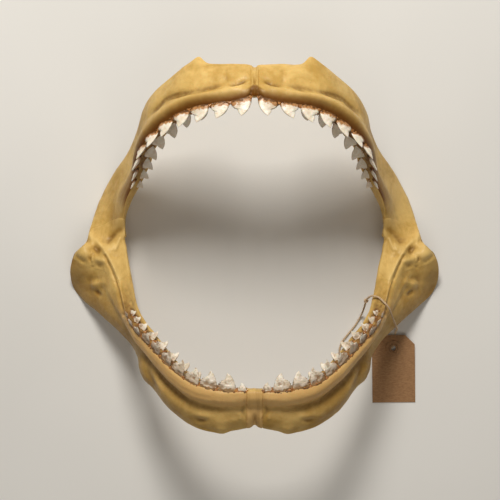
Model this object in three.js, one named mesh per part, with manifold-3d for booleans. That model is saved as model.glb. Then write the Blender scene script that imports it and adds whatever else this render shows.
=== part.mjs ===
/**
 * Dried jaw of a tiger shark, life size, lying on its back with the gape open upwards.
 *
 * Frame: millimetres, +Z up out of the gape, +Y towards the upper jaw, +X the animal's left.
 * The origin is the middle of the jaw on the surface that it lies on.
 *
 * Each jaw arch is two half arches that meet at a ligament band on the middle line and at a
 * joint on each side. A half arch is a loft: its section is hung on three rails, the lip that
 * carries the teeth, the outer rim of the plate, and the foot of the tooth bed.
 */
import * as THREE from 'three';
import { mergeVertices } from 'three/addons/utils/BufferGeometryUtils.js';
import Module from 'manifold-3d';

const wasm = await Module();
wasm.setup();

// ---- driving dimensions, mm -------------------------------------------------------------

const GAP = 0.3; // between neighbouring pieces
const REACH = 400; // longer than the jaw in every direction

const SECTION_POINTS = 16; // round one section of a half arch
const RING_SPACING = 14; // about how far apart the sections of a loft are, along the lip

const UPPER_BAND_WIDTH = 5.6; // ligament on the middle line of the upper jaw
const LOWER_BAND_WIDTH = 12.4;
const BAND_SWELL = 0.8; // how far a ligament band stands proud of its section

/**
 * Stations of a half arch from the middle line to the joint, for the animal's left side.
 * lip and rim are points of the two outer rails. bed is how far the foot of the tooth bed lies
 * below the lip, and how far it lies inwards of it.
 */
const UPPER_STATIONS = [
  { lip: [0, 127.5, 150], rim: [0, 154.4, 127], bed: [22, -3] }, // middle line
  { lip: [10, 125.2, 149.5], rim: [8, 157.6, 126], bed: [22, -3] }, // beside the band
  { lip: [24, 122.4, 147.5], rim: [21, 158.4, 123], bed: [21.5, -3] }, // end of the front panel
  { lip: [41, 120.8, 143], rim: [41, 159, 117], bed: [21, -1.5] }, // foot of the horn
  { lip: [49.5, 119.2, 140], rim: [49, 166.6, 113.5], bed: [21, 0] }, // tip of the horn
  { lip: [57.4, 117.3, 136.5], rim: [57, 162, 111.5], bed: [20.5, 3] }, // outer foot of it
  { lip: [73, 110.6, 127], rim: [69, 153.5, 104], bed: [19.5, 5] },
  { lip: [91.3, 97.8, 110], rim: [88.3, 139.2, 86], bed: [18, 8.5] }, // corner of the arch
  { lip: [100.6, 87.1, 97], rim: [100.9, 123.7, 67], bed: [17, 10] },
  { lip: [105.6, 76.2, 84.5], rim: [107, 106.6, 52], bed: [17.5, 11] },
  { lip: [110.2, 57.2, 65], rim: [117.5, 87, 32], bed: [16, 5] }, // start of the flange
  { lip: [119.1, 39.3, 50], rim: [138.5, 60, 3.4], bed: [18, 3] }, // the flange rests here
  { lip: [122.4, 19.2, 38], rim: [151.5, 30.2, 1.9], bed: [18, 0] },
  { lip: [120.8, -6, 28], rim: [160, -6, 24], bed: [15, 2] }, // past the joint
];

const LOWER_STATIONS = [
  { lip: [0, -128, 138], rim: [0, -159.5, 118], bed: [20, 0] }, // middle line
  { lip: [20.9, -128.6, 136.5], rim: [19.4, -164.5, 115], bed: [19.5, 1] },
  { lip: [34.9, -127.3, 133.5], rim: [32.8, -166.6, 112], bed: [18.5, 2.5] }, // lowest point
  { lip: [54.3, -122.9, 126.5], rim: [54.3, -162.1, 104.5], bed: [17.5, 5.5] },
  { lip: [71.5, -112.7, 115.5], rim: [74.5, -149.9, 92.5], bed: [17.5, 7.5] },
  { lip: [86.5, -99.1, 101.5], rim: [89.8, -133.8, 77], bed: [17.5, 9] }, // corner of the arch
  { lip: [99, -86.9, 88.5], rim: [103.6, -118.7, 60], bed: [17.5, 10.5] },
  { lip: [108.7, -78.3, 79], rim: [107, -104.7, 51], bed: [18, 12] },
  { lip: [116.7, -66.1, 68.5], rim: [117.1, -89.6, 40], bed: [18.5, 12] }, // start of the wing
  { lip: [121.2, -51.8, 58.5], rim: [143.2, -67.7, 19], bed: [17.5, 11.5] },
  { lip: [129.2, -25.4, 45], rim: [169.4, -45.9, 0], bed: [14, 14] }, // the wing rests here
  { lip: [136.8, -10.6, 38], rim: [174.1, -23, 13], bed: [11, 19] },
  { lip: [142.9, 4, 33], rim: [163.1, 8, 27], bed: [8, 20] }, // past the joint
];

/**
 * Relief of the sections, each size given at four even steps from the middle line to the joint:
 * the swell of the lip roll, the depth of the groove behind it, the swell of the face, the
 * thickness of the rim, the swell of the back and that of the tooth bed.
 */
const UPPER_RELIEF = {
  roll: [3, 3.5, 2.5, 2],
  groove: [-0.5, 2, 1, 0],
  face: [3, 3.5, 0.5, 1],
  rim: [3.5, 4, 3, 3],
  back: [4, 3, 0, 2],
  bed: [1.5, 2, 1.5, 2],
};
const LOWER_RELIEF = {
  roll: [3.5, 4, 2, 3],
  groove: [0.5, 3, 1.5, 1],
  face: [3, 3, 0, 4],
  rim: [4, 4, 3, 4],
  back: [4, 3, 0, 4],
  bed: [1.5, 2, 1.5, 2],
};

// Line of the joint from the outside in, as seen from above, and the ligament strap over it.
const JOINT_LINE = [[175, -2], [158, 1], [150, -4], [142, -5], [135, 0], [122, 7.5], [108, 11]];
const STRAP_LINE = [[133, 12], [120.5, 20], [112, 16], [112, 2], [127, -7], [137, -8]];

/**
 * Teeth of a half arch, counted from the middle line: their widths along the lip, and how far
 * from the middle line the first one starts.
 */
const UPPER_TEETH = { start: 3.4, widths: [17.5, 17, 18, 17, 18.5, 18, 17.5, 14.5, 11.5, 8] };
const LOWER_TEETH = { start: 6.6, widths: [8.5, 16.5, 16.5, 16, 16, 15.5, 15, 13.5, 12, 10.5, 8.5] };
const TOOTH_SPACING = 1; // bare lip between two teeth of a row

/**
 * Rows of teeth from the working one inwards: how far down the bed they are rooted, 0 at the lip
 * and 1 at its foot, their lean into the mouth in degrees, and their size against the working row.
 */
const TOOTH_ROWS = [
  { down: 0.04, lean: 12, size: 1 },
  { down: 0.42, lean: 62, size: 0.95 },
];

/**
 * Outline of a tooth in widths: at each height its near edge, its far edge and its thickness.
 * The crown leans away from the middle line over a notch and a low heel.
 */
const TOOTH_LEVELS = [
  { height: -0.26, near: 0.06, far: 0.94, thick: 0.2 }, // root, sunk into the lip
  { height: 0.26, near: 0.09, far: 0.93, thick: 0.22 },
  { height: 0.52, near: 0.27, far: 0.72, thick: 0.16 }, // notch
  { height: 0.64, near: 0.42, far: 0.77, thick: 0.11 },
];
const TOOTH_TIP = { height: 0.79, at: 0.68 };
const TOOTH_POINT = 0.93; // how far the last level draws in towards the tip

// Tag of stiff card, its lower edge on the floor and its upper end lying on the twine.
const TAG = { x: 133.1, y: -150.2, width: 40.8, length: 64.2, thickness: 0.7, corner: 9 };
const TAG_HOLE = { radius: 2.35, fromTop: 12.4 };
const TAG_TILT = 2.6; // degrees
const TAG_TURN = 0.8; // degrees

/**
 * Twine that ties the tag on: from its knot inside the mouth over the lower jaw, down to the
 * floor, under the tag and the jaw, and back up to the knot.
 */
const TWINE_DIAMETER = 1.6;
const TWINE_STEPS = 64;
const TWINE_ROUTE = [
  [104.6, -50.9, 36.6], [106.7, -48.4, 43], [109, -47.3, 46.9], [111.5, -47.6, 49.2],
  [115.1, -49, 53.8], [118, -51.8, 58.9], [120.1, -54.2, 61.8], [121.8, -56.2, 62.1],
  [123.6, -59.1, 59.9], [125.9, -63.5, 54], [128.3, -68.6, 46.8], [130.8, -73.5, 39.8],
  [133, -77.8, 31], [134.2, -80, 20], [134.6, -81.4, 10], [134.5, -83, 3.8],
  [134.3, -86.4, 1], [134, -90, 0.9], [133.2, -94.4, 0.9], [131, -98.3, 0.9],
  [126.4, -100.8, 0.9], [116, -103.2, 0.9], [103, -107.6, 0.9], [91, -110.2, 0.9],
  [84.2, -107, 0.9], [81.4, -100.6, 0.9], [83.2, -93.6, 0.9], [89, -85.6, 0.9],
  [96, -77, 0.9], [100.4, -69.8, 1.3], [102.6, -64.5, 5], [103.6, -60, 13],
  [104, -56.4, 22.5], [104, -53.9, 30.2],
];
const KNOT = { centre: [104.2, -52.4, 33.4], radius: 2.1, stretch: 1.25 };

// ---- solids -----------------------------------------------------------------------------

const vector = (point) => new THREE.Vector3(...point);
const mix = (a, b, t) => a.clone().lerp(b, t);

/** A geometry with its shared corners merged, as a solid that can be joined and cut. */
function solid(geometry) {
  const bare = geometry.clone();
  bare.deleteAttribute('normal');
  bare.deleteAttribute('uv');
  const merged = mergeVertices(bare, 1e-5);
  const vertProperties = new Float32Array(merged.attributes.position.array);
  const triVerts = new Uint32Array(merged.index.array);
  return new wasm.Manifold(new wasm.Mesh({ numProp: 3, vertProperties, triVerts }));
}

/** The geometry of a solid. */
function geometryOf(shape) {
  const { vertProperties, triVerts } = shape.getMesh();
  const geometry = new THREE.BufferGeometry();
  geometry.setAttribute('position', new THREE.Float32BufferAttribute(vertProperties, 3));
  geometry.setIndex(new THREE.Uint32BufferAttribute(triVerts, 1));
  return geometry;
}

/** A closed geometry from points and triangles, with its faces turned outwards. */
function closedGeometry(points, triangles) {
  let volume = 0;
  for (const [a, b, c] of triangles) {
    volume += points[a].dot(points[b].clone().cross(points[c]));
  }
  const outwards = volume > 0 ? triangles : triangles.map(([a, b, c]) => [c, b, a]);
  const geometry = new THREE.BufferGeometry();
  geometry.setAttribute('position', new THREE.Float32BufferAttribute(points.flatMap((p) => p.toArray()), 3));
  geometry.setIndex(outwards.flat());
  return geometry;
}

/** Triangles over a flat ring of points. */
function ringFaces(ring) {
  const normal = new THREE.Vector3();
  ring.forEach((point, i) => normal.add(point.clone().cross(ring[(i + 1) % ring.length])));
  const turn = new THREE.Quaternion().setFromUnitVectors(normal.normalize(), new THREE.Vector3(0, 0, 1));
  const outline = ring.map((point) => point.clone().applyQuaternion(turn));
  return THREE.ShapeUtils.triangulateShape(outline.map(({ x, y }) => new THREE.Vector2(x, y)), []);
}

/** A closed skin over rings of as many points each, with flat ends. */
function loft(rings) {
  const count = rings[0].length;
  const last = (rings.length - 1) * count;
  const triangles = ringFaces(rings[0]).map(([a, b, c]) => [c, b, a]);
  for (let start = 0; start < last; start += count) {
    for (let i = 0; i < count; i += 1) {
      const [a, b] = [start + i, start + ((i + 1) % count)];
      triangles.push([a, b, a + count], [b, b + count, a + count]);
    }
  }
  triangles.push(...ringFaces(rings.at(-1)).map((face) => face.map((i) => i + last)));
  return closedGeometry(rings.flat(), triangles);
}

/** An upright prism over a plan outline, tall enough to pass through the whole jaw. */
function prism(outline) {
  const shape = new THREE.Shape(outline.map(([x, y]) => new THREE.Vector2(x, y)));
  const geometry = new THREE.ExtrudeGeometry(shape, { depth: REACH, bevelEnabled: false });
  return solid(geometry.translate(0, 0, -REACH / 2));
}

// ---- half arches ------------------------------------------------------------------------

/** A smooth value from keys at even steps of u, 0 to 1. */
function keyed(keys, u) {
  return new THREE.SplineCurve(keys.map((key, i) => new THREE.Vector2(i, key))).getPoint(u).y;
}

/** The rails of a half arch, as a function of u, 0 at the middle line and 1 past the joint. */
function makeRails(stations) {
  const side = Math.sign(stations[0].lip[1]);
  const lip = new THREE.CatmullRomCurve3(stations.map((s) => vector(s.lip)), false, 'catmullrom');
  const rim = new THREE.CatmullRomCurve3(stations.map((s) => vector(s.rim)), false, 'catmullrom');
  const drops = stations.map((s) => s.bed[0]);
  const insets = stations.map((s) => s.bed[1]);
  return (u) => {
    const along = u === 0 ? new THREE.Vector3(1, 0, 0) : lip.getTangent(u);
    const inwards = new THREE.Vector3(along.y, -along.x, 0).normalize().multiplyScalar(side);
    const top = lip.getPoint(u);
    const foot = top.clone().addScaledVector(inwards, keyed(insets, u));
    foot.z -= keyed(drops, u);
    return { side, lip: top, rim: rim.getPoint(u), foot, along };
  };
}

/** The unit normal of the line from a to b in the section's plane, on the side away from c. */
function sideNormal(a, b, along, c) {
  const normal = b.clone().sub(a).cross(along).normalize();
  return normal.dot(c.clone().sub(a)) > 0 ? normal.negate() : normal;
}

/** The closed outline of the section at u, from the lip over the rim and the back to the bed. */
function sectionAt(rails, relief, u) {
  const { lip, rim, foot, along } = rails(u);
  const size = Object.fromEntries(Object.entries(relief).map(([name, keys]) => [name, keyed(keys, u)]));
  const front = sideNormal(lip, rim, along, foot);
  const rear = sideNormal(rim, foot, along, lip);
  const mouth = sideNormal(foot, lip, along, rim);
  const points = [
    lip,
    mix(lip, rim, 0.12).addScaledVector(front, size.roll),
    mix(lip, rim, 0.28).addScaledVector(front, size.roll * 0.85),
    mix(lip, rim, 0.42).addScaledVector(front, -size.groove),
    mix(lip, rim, 0.66).addScaledVector(front, size.face),
    mix(lip, rim, 0.93).addScaledVector(front, size.rim * 0.4),
    rim,
    mix(rim, foot, 0.1).addScaledVector(rear, size.rim),
    mix(rim, foot, 0.5).addScaledVector(rear, size.back),
    mix(rim, foot, 0.88).addScaledVector(rear, size.back * 0.6),
    foot,
    mix(foot, lip, 0.35).addScaledVector(mouth, size.bed),
    mix(foot, lip, 0.8).addScaledVector(mouth, size.bed * 0.7),
  ];
  return new THREE.CatmullRomCurve3(points, true, 'centripetal').getPoints(SECTION_POINTS).slice(1);
}

/** The bare cartilage of a left half arch, from the middle line to past the joint. */
function cartilage({ rails, relief, stations }) {
  const spans = stations.length - 1;
  const rings = [sectionAt(rails, relief, 0)];
  for (let span = 0; span < spans; span += 1) {
    const length = vector(stations[span].lip).distanceTo(vector(stations[span + 1].lip));
    const steps = Math.max(1, Math.round(length / RING_SPACING));
    for (let step = 1; step <= steps; step += 1) {
      rings.push(sectionAt(rails, relief, (span + step / steps) / spans));
    }
  }
  return solid(loft(rings));
}

/** The ligament band on the middle line: the section there, swollen between its two flanks. */
function band({ rails, relief }, width) {
  const outline = sectionAt(rails, relief, 0);
  const middle = outline.reduce((sum, point) => sum.add(point), new THREE.Vector3());
  middle.divideScalar(outline.length);
  const ring = (x, swell) => outline.map((point) => {
    const spoke = point.clone().sub(middle);
    return point.clone().addScaledVector(spoke.normalize(), swell).setX(x);
  });
  const half = width / 2;
  return loft([ring(-half, 0), ring(-half * 0.6, BAND_SWELL), ring(half * 0.6, BAND_SWELL), ring(half, 0)]);
}

// ---- teeth ------------------------------------------------------------------------------

/** One tooth of a row, its near corner at u, leaning into the mouth. */
function tooth(rails, u, width, row) {
  const { side, lip, rim, foot, along } = rails(u);
  const lean = THREE.MathUtils.degToRad(row.lean);
  const front = sideNormal(lip, rim, along, foot);
  const up = lip.clone().sub(rim).normalize().multiplyScalar(Math.cos(lean));
  up.addScaledVector(front, -Math.sin(lean));
  up.addScaledVector(along, -up.dot(along)).normalize();
  const face = up.clone().cross(along).multiplyScalar(side);
  const root = mix(lip, foot, row.down);
  const at = (across, height, out) => root.clone()
    .addScaledVector(along, across * width)
    .addScaledVector(up, height * width)
    .addScaledVector(face, out * width);
  const rings = TOOTH_LEVELS.map(({ height, near, far, thick }) => [
    at(near, height, 0),
    at((near + far) / 2, height, thick * 0.35),
    at(far, height, 0),
    at((near + far) / 2, height, -thick * 0.65),
  ]);
  const tip = at(TOOTH_TIP.at, TOOTH_TIP.height, 0);
  rings.push(rings.at(-1).map((point) => mix(point, tip, TOOTH_POINT)));
  return solid(loft(rings));
}

/** The places along the lip where the teeth of a half arch begin, as values of u. */
function toothPlaces({ stations, teeth }) {
  const lip = new THREE.CatmullRomCurve3(stations.map((s) => vector(s.lip)), false, 'catmullrom');
  const length = lip.getLength();
  let from = teeth.start;
  return teeth.widths.map((width) => {
    const u = lip.getUtoTmapping(0, from);
    from += width + TOOTH_SPACING;
    return { u, width };
  });
}

/** All the teeth of a left half arch. */
function dentition(arch) {
  return TOOTH_ROWS.flatMap((row) => toothPlaces(arch).map(
    ({ u, width }) => tooth(arch.rails, u, width * row.size, row),
  ));
}

// ---- tag and twine ----------------------------------------------------------------------

/** The tag: a card with its two upper corners cut off, and a hole. */
function tagCard() {
  const half = TAG.width / 2;
  const card = new THREE.Shape();
  card.moveTo(-half, 0);
  card.lineTo(half, 0);
  card.lineTo(half, TAG.length - TAG.corner);
  card.lineTo(half - TAG.corner, TAG.length);
  card.lineTo(TAG.corner - half, TAG.length);
  card.lineTo(-half, TAG.length - TAG.corner);
  card.closePath();
  const hole = new THREE.Path().absarc(0, TAG.length - TAG_HOLE.fromTop, TAG_HOLE.radius, 0, 2 * Math.PI);
  card.holes.push(hole);
  const geometry = new THREE.ExtrudeGeometry(card, {
    depth: TAG.thickness, bevelEnabled: false, curveSegments: 8,
  });
  return geometry;
}

/** The twine as a round tube along its route. */
function twineTube() {
  const section = new THREE.Shape().absarc(0, 0, TWINE_DIAMETER / 2, 0, 2 * Math.PI);
  return new THREE.ExtrudeGeometry(section, {
    steps: TWINE_STEPS,
    curveSegments: 4,
    extrudePath: new THREE.CatmullRomCurve3(TWINE_ROUTE.map(vector), false, 'centripetal'),
  });
}

// ---- assembly ---------------------------------------------------------------------------

const upper = {
  stations: UPPER_STATIONS, relief: UPPER_RELIEF, teeth: UPPER_TEETH, rails: makeRails(UPPER_STATIONS),
};
const lower = {
  stations: LOWER_STATIONS, relief: LOWER_RELIEF, teeth: LOWER_TEETH, rails: makeRails(LOWER_STATIONS),
};

/** The plan outline of all that lies on one side of the joint line: +1 is the upper jaw's side. */
function sideOfJoint(side) {
  const line = JOINT_LINE.map(([x, y]) => [x, y + side * GAP / 2]);
  return [[REACH, line[0][1]], ...line, [0, line.at(-1)[1]], [0, side * REACH], [REACH, side * REACH]];
}

/** The strap's plan outline, grown on all sides. */
function strapOutline(growth) {
  const middle = new THREE.Box2().setFromPoints(STRAP_LINE.map(([x, y]) => new THREE.Vector2(x, y)));
  const centre = middle.getCenter(new THREE.Vector2());
  return STRAP_LINE.map(([x, y]) => {
    const spoke = new THREE.Vector2(x, y).sub(centre);
    return spoke.setLength(spoke.length() + growth).add(centre).toArray();
  });
}

const floor = solid(new THREE.BoxGeometry(2 * REACH, 2 * REACH, REACH).translate(0, 0, -REACH / 2));
const bareUpper = cartilage(upper);
const bareLower = cartilage(lower);
const strap = bareUpper.add(bareLower).intersect(prism(strapOutline(0)));

/** The left half arch with its teeth, cut free of the band, the joint, the strap and the floor. */
function halfArch(bare, arch, bandWidth) {
  const { side } = arch.rails(0);
  const inner = bandWidth / 2 + GAP;
  const beyondBand = prism([[inner, -REACH], [REACH, -REACH], [REACH, REACH], [inner, REACH]]);
  const whole = dentition(arch).reduce((shape, each) => shape.add(each), bare);
  return whole.intersect(beyondBand)
    .intersect(prism(sideOfJoint(side)))
    .subtract(prism(strapOutline(2 * GAP)))
    .subtract(floor);
}

const group = new THREE.Group();

/** Adds a named mesh to the group. */
function addMesh(name, geometry, material) {
  const mesh = new THREE.Mesh(geometry, material);
  mesh.name = name;
  group.add(mesh);
  return mesh;
}

/** A geometry mirrored to the other side of the middle line, its faces still outwards. */
function mirrored(geometry) {
  const copy = geometry.clone().scale(-1, 1, 1);
  const flipped = Array.from(copy.index.array).reverse();
  return copy.setIndex(flipped);
}

/** Adds a solid of the left side and its mirror image. */
function addPair(name, shape, material) {
  addMesh(`${name}_left`, geometryOf(shape), material);
  addMesh(`${name}_right`, mirrored(geometryOf(shape)), material);
}

const cartilageFinish = new THREE.MeshStandardMaterial({ color: 0xc8985a, roughness: 0.45, metalness: 0 });
const ligamentFinish = new THREE.MeshStandardMaterial({ color: 0xb08a50, roughness: 0.55, metalness: 0 });

addPair('upper_jaw', halfArch(bareUpper, upper, UPPER_BAND_WIDTH), cartilageFinish);
addPair('lower_jaw', halfArch(bareLower, lower, LOWER_BAND_WIDTH), cartilageFinish);
addPair('joint_strap', strap, ligamentFinish);
addMesh('upper_symphysis', band(upper, UPPER_BAND_WIDTH), ligamentFinish);
addMesh('lower_symphysis', band(lower, LOWER_BAND_WIDTH), ligamentFinish);


const cardFinish = new THREE.MeshStandardMaterial({ color: 0x9a7450, roughness: 0.9, metalness: 0 });
const twineFinish = new THREE.MeshStandardMaterial({ color: 0xb89a72, roughness: 0.95, metalness: 0 });

const tag = addMesh('tag', tagCard(), cardFinish);
tag.position.set(TAG.x, TAG.y, 0);
tag.rotation.set(
  THREE.MathUtils.degToRad(TAG_TILT), 0, THREE.MathUtils.degToRad(TAG_TURN), 'ZXY',
);
addMesh('twine', twineTube(), twineFinish);
const knot = addMesh('twine_knot', new THREE.IcosahedronGeometry(KNOT.radius, 1), twineFinish);
knot.position.set(...KNOT.centre);
knot.scale.z = KNOT.stretch;

export default group;
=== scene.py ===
"""The dried jaw of a tiger shark with its teeth, its blank tag and its twine, life size.

Sizes are millimetres until a mesh is made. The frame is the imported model's: +Z up out of the gape,
+Y towards the upper jaw, +X the animal's left.
"""
import logging
import math
from dataclasses import dataclass, field
from enum import Enum

import bpy
import numpy as np
from mathutils import Euler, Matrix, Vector
from mathutils.bvhtree import BVHTree


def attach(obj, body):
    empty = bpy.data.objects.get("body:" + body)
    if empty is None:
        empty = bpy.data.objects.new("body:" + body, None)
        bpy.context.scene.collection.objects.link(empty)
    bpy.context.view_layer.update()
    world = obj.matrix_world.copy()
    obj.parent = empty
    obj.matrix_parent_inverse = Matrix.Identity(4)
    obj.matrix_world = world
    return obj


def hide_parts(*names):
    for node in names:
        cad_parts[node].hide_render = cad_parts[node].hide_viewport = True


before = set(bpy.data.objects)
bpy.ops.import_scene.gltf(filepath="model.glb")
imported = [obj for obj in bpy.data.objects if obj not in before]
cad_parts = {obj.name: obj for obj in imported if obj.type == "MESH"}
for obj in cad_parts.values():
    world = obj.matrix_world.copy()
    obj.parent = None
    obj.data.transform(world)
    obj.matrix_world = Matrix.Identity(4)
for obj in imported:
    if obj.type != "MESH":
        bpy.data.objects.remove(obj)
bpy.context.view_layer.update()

MM = 0.001  # metres
FLOOR = 0.0  # height of the surface that the jaw lies on
FAR = 1e9  # further off than anything on the part
LATTICE = 24  # values along each side of the block that noise repeats
ROOT = "root"
FEATHER = (-7.0, 0.5)  # the joint's ligament shapes the jaws from here to there inside its outline

Pair = tuple[float, float]
Numbers = tuple[float, ...]
Points = tuple[Numbers, ...]
Colour = tuple[float, float, float]

log = logging.getLogger("shark_jaw")


class Side(Enum):
    """The animal's side that a piece is on, as the sign of x."""

    LEFT = 1
    RIGHT = -1

    @property
    def label(self) -> str:
        """The side's name in a piece's name."""
        return self.name.lower()


class Slot(Enum):
    """The record's material slots."""

    CARTILAGE = "cartilage"
    LIGAMENT = "ligament"
    TOOTH = "tooth"
    GUM = "gum"
    CARD = "card"
    TWINE = "twine"


# ---- curves and noise -------------------------------------------------------------------


def spline(points: np.ndarray, u: np.ndarray, drawn_on: bool = True) -> np.ndarray:
    """An open uniform Catmull-Rom curve.

    Args:
        points: The points that it passes through, one a row.
        u: Where to read it, 0 to 1.
        drawn_on: Whether its ends run on in a straight line, or else hold their last point.

    Returns:
        One point a row for each u.
    """
    first = 2 * points[0] - points[1] if drawn_on else points[0]
    last = 2 * points[-1] - points[-2] if drawn_on else points[-1]
    knots = np.vstack([first, points, last])
    place = np.clip(u, 0, 1) * (len(points) - 1)
    index = np.minimum(place.astype(int), len(points) - 2)
    t = (place - index)[:, None]
    a, b, c, d = (knots[index + k] for k in range(4))
    return b + 0.5 * t * ((c - a) + t * ((2 * a - 5 * b + 4 * c - d) + t * (3 * b - a - 3 * c + d)))


def keyed(keys: Numbers, u: np.ndarray) -> np.ndarray:
    """A smooth value from keys at even steps of u, 0 to 1."""
    return spline(np.array(keys, float)[:, None], u, drawn_on=False)[:, 0]


def knotted(knots: np.ndarray, steps: int, closed: bool) -> np.ndarray:
    """Centripetal Catmull-Rom curves through rows of knots.

    Args:
        knots: Knots of several curves, as curve, knot, coordinate.
        steps: Points from one knot to the next.
        closed: Whether each curve comes back to its first knot.

    Returns:
        The points, as curve, point, coordinate.
    """
    if closed:
        ring = np.concatenate([knots[:, -1:], knots, knots[:, :2]], axis=1)
    else:
        ends = (2 * knots[:, :1] - knots[:, 1:2], 2 * knots[:, -1:] - knots[:, -2:-1])
        ring = np.concatenate([ends[0], knots, ends[1]], axis=1)
    p0, p1, p2, p3 = (ring[:, k:ring.shape[1] - 3 + k] for k in range(4))
    d0, d1, d2 = (np.sqrt(np.linalg.norm(b - a, axis=2, keepdims=True)) + 1e-6
                  for a, b in ((p0, p1), (p1, p2), (p2, p3)))
    m1 = ((p1 - p0) / d0 - (p2 - p0) / (d0 + d1) + (p2 - p1) / d1) * d1
    m2 = ((p2 - p1) / d1 - (p3 - p1) / (d1 + d2) + (p3 - p2) / d2) * d1
    t = (np.arange(steps) / steps)[None, None, :, None]
    p1, p2, m1, m2 = (v[:, :, None, :] for v in (p1, p2, m1, m2))
    curve = p1 + t * (m1 + t * ((3 * (p2 - p1) - 2 * m1 - m2) + t * (2 * (p1 - p2) + m1 + m2)))
    curve = curve.reshape(len(knots), -1, knots.shape[2])
    return curve if closed else np.concatenate([curve, knots[:, -1:]], axis=1)


def ramp(low: float, high: float, value: np.ndarray) -> np.ndarray:
    """A smooth step from 0 at low to 1 at high."""
    t = np.clip((value - low) / (high - low), 0, 1)
    return t * t * (3 - 2 * t)


def noise(points: np.ndarray, size: float, seed: int, octaves: int = 1) -> np.ndarray:
    """Smooth noise between -1 and 1.

    Args:
        points: Points in millimetres, in the last axis.
        size: Size of its lumps.
        seed: Picks one pattern.
        octaves: How many times finer lumps of half the height are added.

    Returns:
        One value for each point.
    """
    lattice = np.random.default_rng(seed).uniform(-1, 1, (LATTICE,) * 3)
    total = np.zeros(points.shape[:-1])
    for octave in range(octaves):
        place = points / size * 2 ** octave + 7.3 * octave
        cell = np.floor(place).astype(int)
        t = place - cell
        t = t * t * t * (t * (t * 6 - 15) + 10)
        value = np.zeros(points.shape[:-1])
        for corner in np.ndindex(2, 2, 2):
            weight = np.prod([t[..., k] if corner[k] else 1 - t[..., k] for k in range(3)], axis=0)
            i, j, k = ((cell[..., axis] + corner[axis]) % LATTICE for axis in range(3))
            value += weight * lattice[i, j, k]
        total += value / 2 ** octave
    return total


def unit(vectors: np.ndarray) -> np.ndarray:
    """The same vectors with length 1."""
    return vectors / (np.linalg.norm(vectors, axis=-1, keepdims=True) + 1e-12)


def smoothed(grid: np.ndarray, rounds: int) -> np.ndarray:
    """A grid averaged with its neighbours.

    Args:
        grid: Rings of points or of values, closed along the second axis.
        rounds: How many times.

    Returns:
        The smoother grid.
    """
    for _ in range(rounds):
        along = np.concatenate([grid[:1], grid, grid[-1:]])
        along = (along[:-2] + along[2:]) / 2
        around = (np.roll(grid, 1, axis=1) + np.roll(grid, -1, axis=1)) / 2
        grid = grid * 0.4 + along * 0.3 + around * 0.3
    return grid


def outward_normals(grid: np.ndarray) -> np.ndarray:
    """Unit normals that look out of a tube.

    Args:
        grid: Its rings of points, as ring, point, coordinate.

    Returns:
        One normal for each point.
    """
    around = np.roll(grid, -1, axis=1) - np.roll(grid, 1, axis=1)
    normal = unit(np.cross(np.gradient(grid, axis=0), around))
    upwards = normal[..., 2] * (grid[..., 2] - grid[..., 2].mean(axis=1, keepdims=True))
    return -normal if np.sum(upwards) < 0 else normal


# ---- meshes -----------------------------------------------------------------------------


@dataclass
class Shell:
    """Points and faces of one mesh, with values that its material reads."""

    points: np.ndarray
    faces: list[np.ndarray]
    values: dict[str, np.ndarray] = field(default_factory=dict)

    @staticmethod
    def joined(shells: list["Shell"]) -> "Shell":
        """Several shells as one.

        Args:
            shells: The shells, all with the same values.

        Returns:
            The joined shell.
        """
        starts = np.cumsum([0] + [len(s.points) for s in shells])
        faces = [f + start for s, start in zip(shells, starts) for f in s.faces]
        names = shells[0].values
        values = {name: np.concatenate([s.values[name] for s in shells]) for name in names}
        return Shell(np.vstack([s.points for s in shells]), faces, values)

    def mirrored(self, side: Side) -> "Shell":
        """The shell on the given side, where it was made for the left.

        Args:
            side: The side.

        Returns:
            The shell, or its mirror image.
        """
        if side is Side.LEFT:
            return self
        return Shell(self.points * (-1, 1, 1), [f[:, ::-1] for f in self.faces], dict(self.values))

    def volume(self) -> float:
        """Its signed volume, above zero where the faces look outwards.

        Returns:
            Cubic millimetres.
        """
        total = 0.0
        for group in self.faces:
            corners = self.points[group]
            for k in range(1, group.shape[1] - 1):
                cross = np.cross(corners[:, k], corners[:, k + 1])
                total += float(np.sum(corners[:, 0] * cross)) / 6
        return total

    def outward(self) -> "Shell":
        """The shell with its faces turned outwards."""
        if self.volume() < 0:
            self.faces = [f[:, ::-1] for f in self.faces]
        return self

    def piece(self, name: str, slot: Slot, material: bpy.types.Material,
              replaces: tuple[str, ...] = ()) -> bpy.types.Object:
        """Makes the object and puts it on the frame.

        Args:
            name: The piece's name.
            slot: The record's slot for its finish; not used.
            material: Its material.
            replaces: The CAD nodes that it stands for.

        Returns:
            The new object.
        """
        mesh = bpy.data.meshes.new(name)
        mesh.vertices.add(len(self.points))
        mesh.vertices.foreach_set("co", (self.points * MM).astype(np.float32).ravel())
        lengths = np.concatenate([np.full(len(f), f.shape[1]) for f in self.faces])
        corners = np.concatenate([f.ravel() for f in self.faces])
        mesh.loops.add(len(corners))
        mesh.loops.foreach_set("vertex_index", corners.astype(np.int32))
        mesh.polygons.add(len(lengths))
        starts = np.concatenate([[0], np.cumsum(lengths)[:-1]])
        mesh.polygons.foreach_set("loop_start", starts.astype(np.int32))
        mesh.update(calc_edges=True)
        mesh.validate()
        mesh.shade_smooth()
        for key, value in self.values.items():
            layer = mesh.attributes.new(key, "FLOAT", "POINT")
            layer.data.foreach_set("value", value.astype(np.float32).ravel())
        mesh.materials.append(material)
        thing = bpy.data.objects.new(name, mesh)
        bpy.context.scene.collection.objects.link(thing)
        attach(thing, ROOT)
        if replaces:
            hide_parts(*replaces)
        log.info("%s: %d points", name, len(self.points))
        return thing


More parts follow.
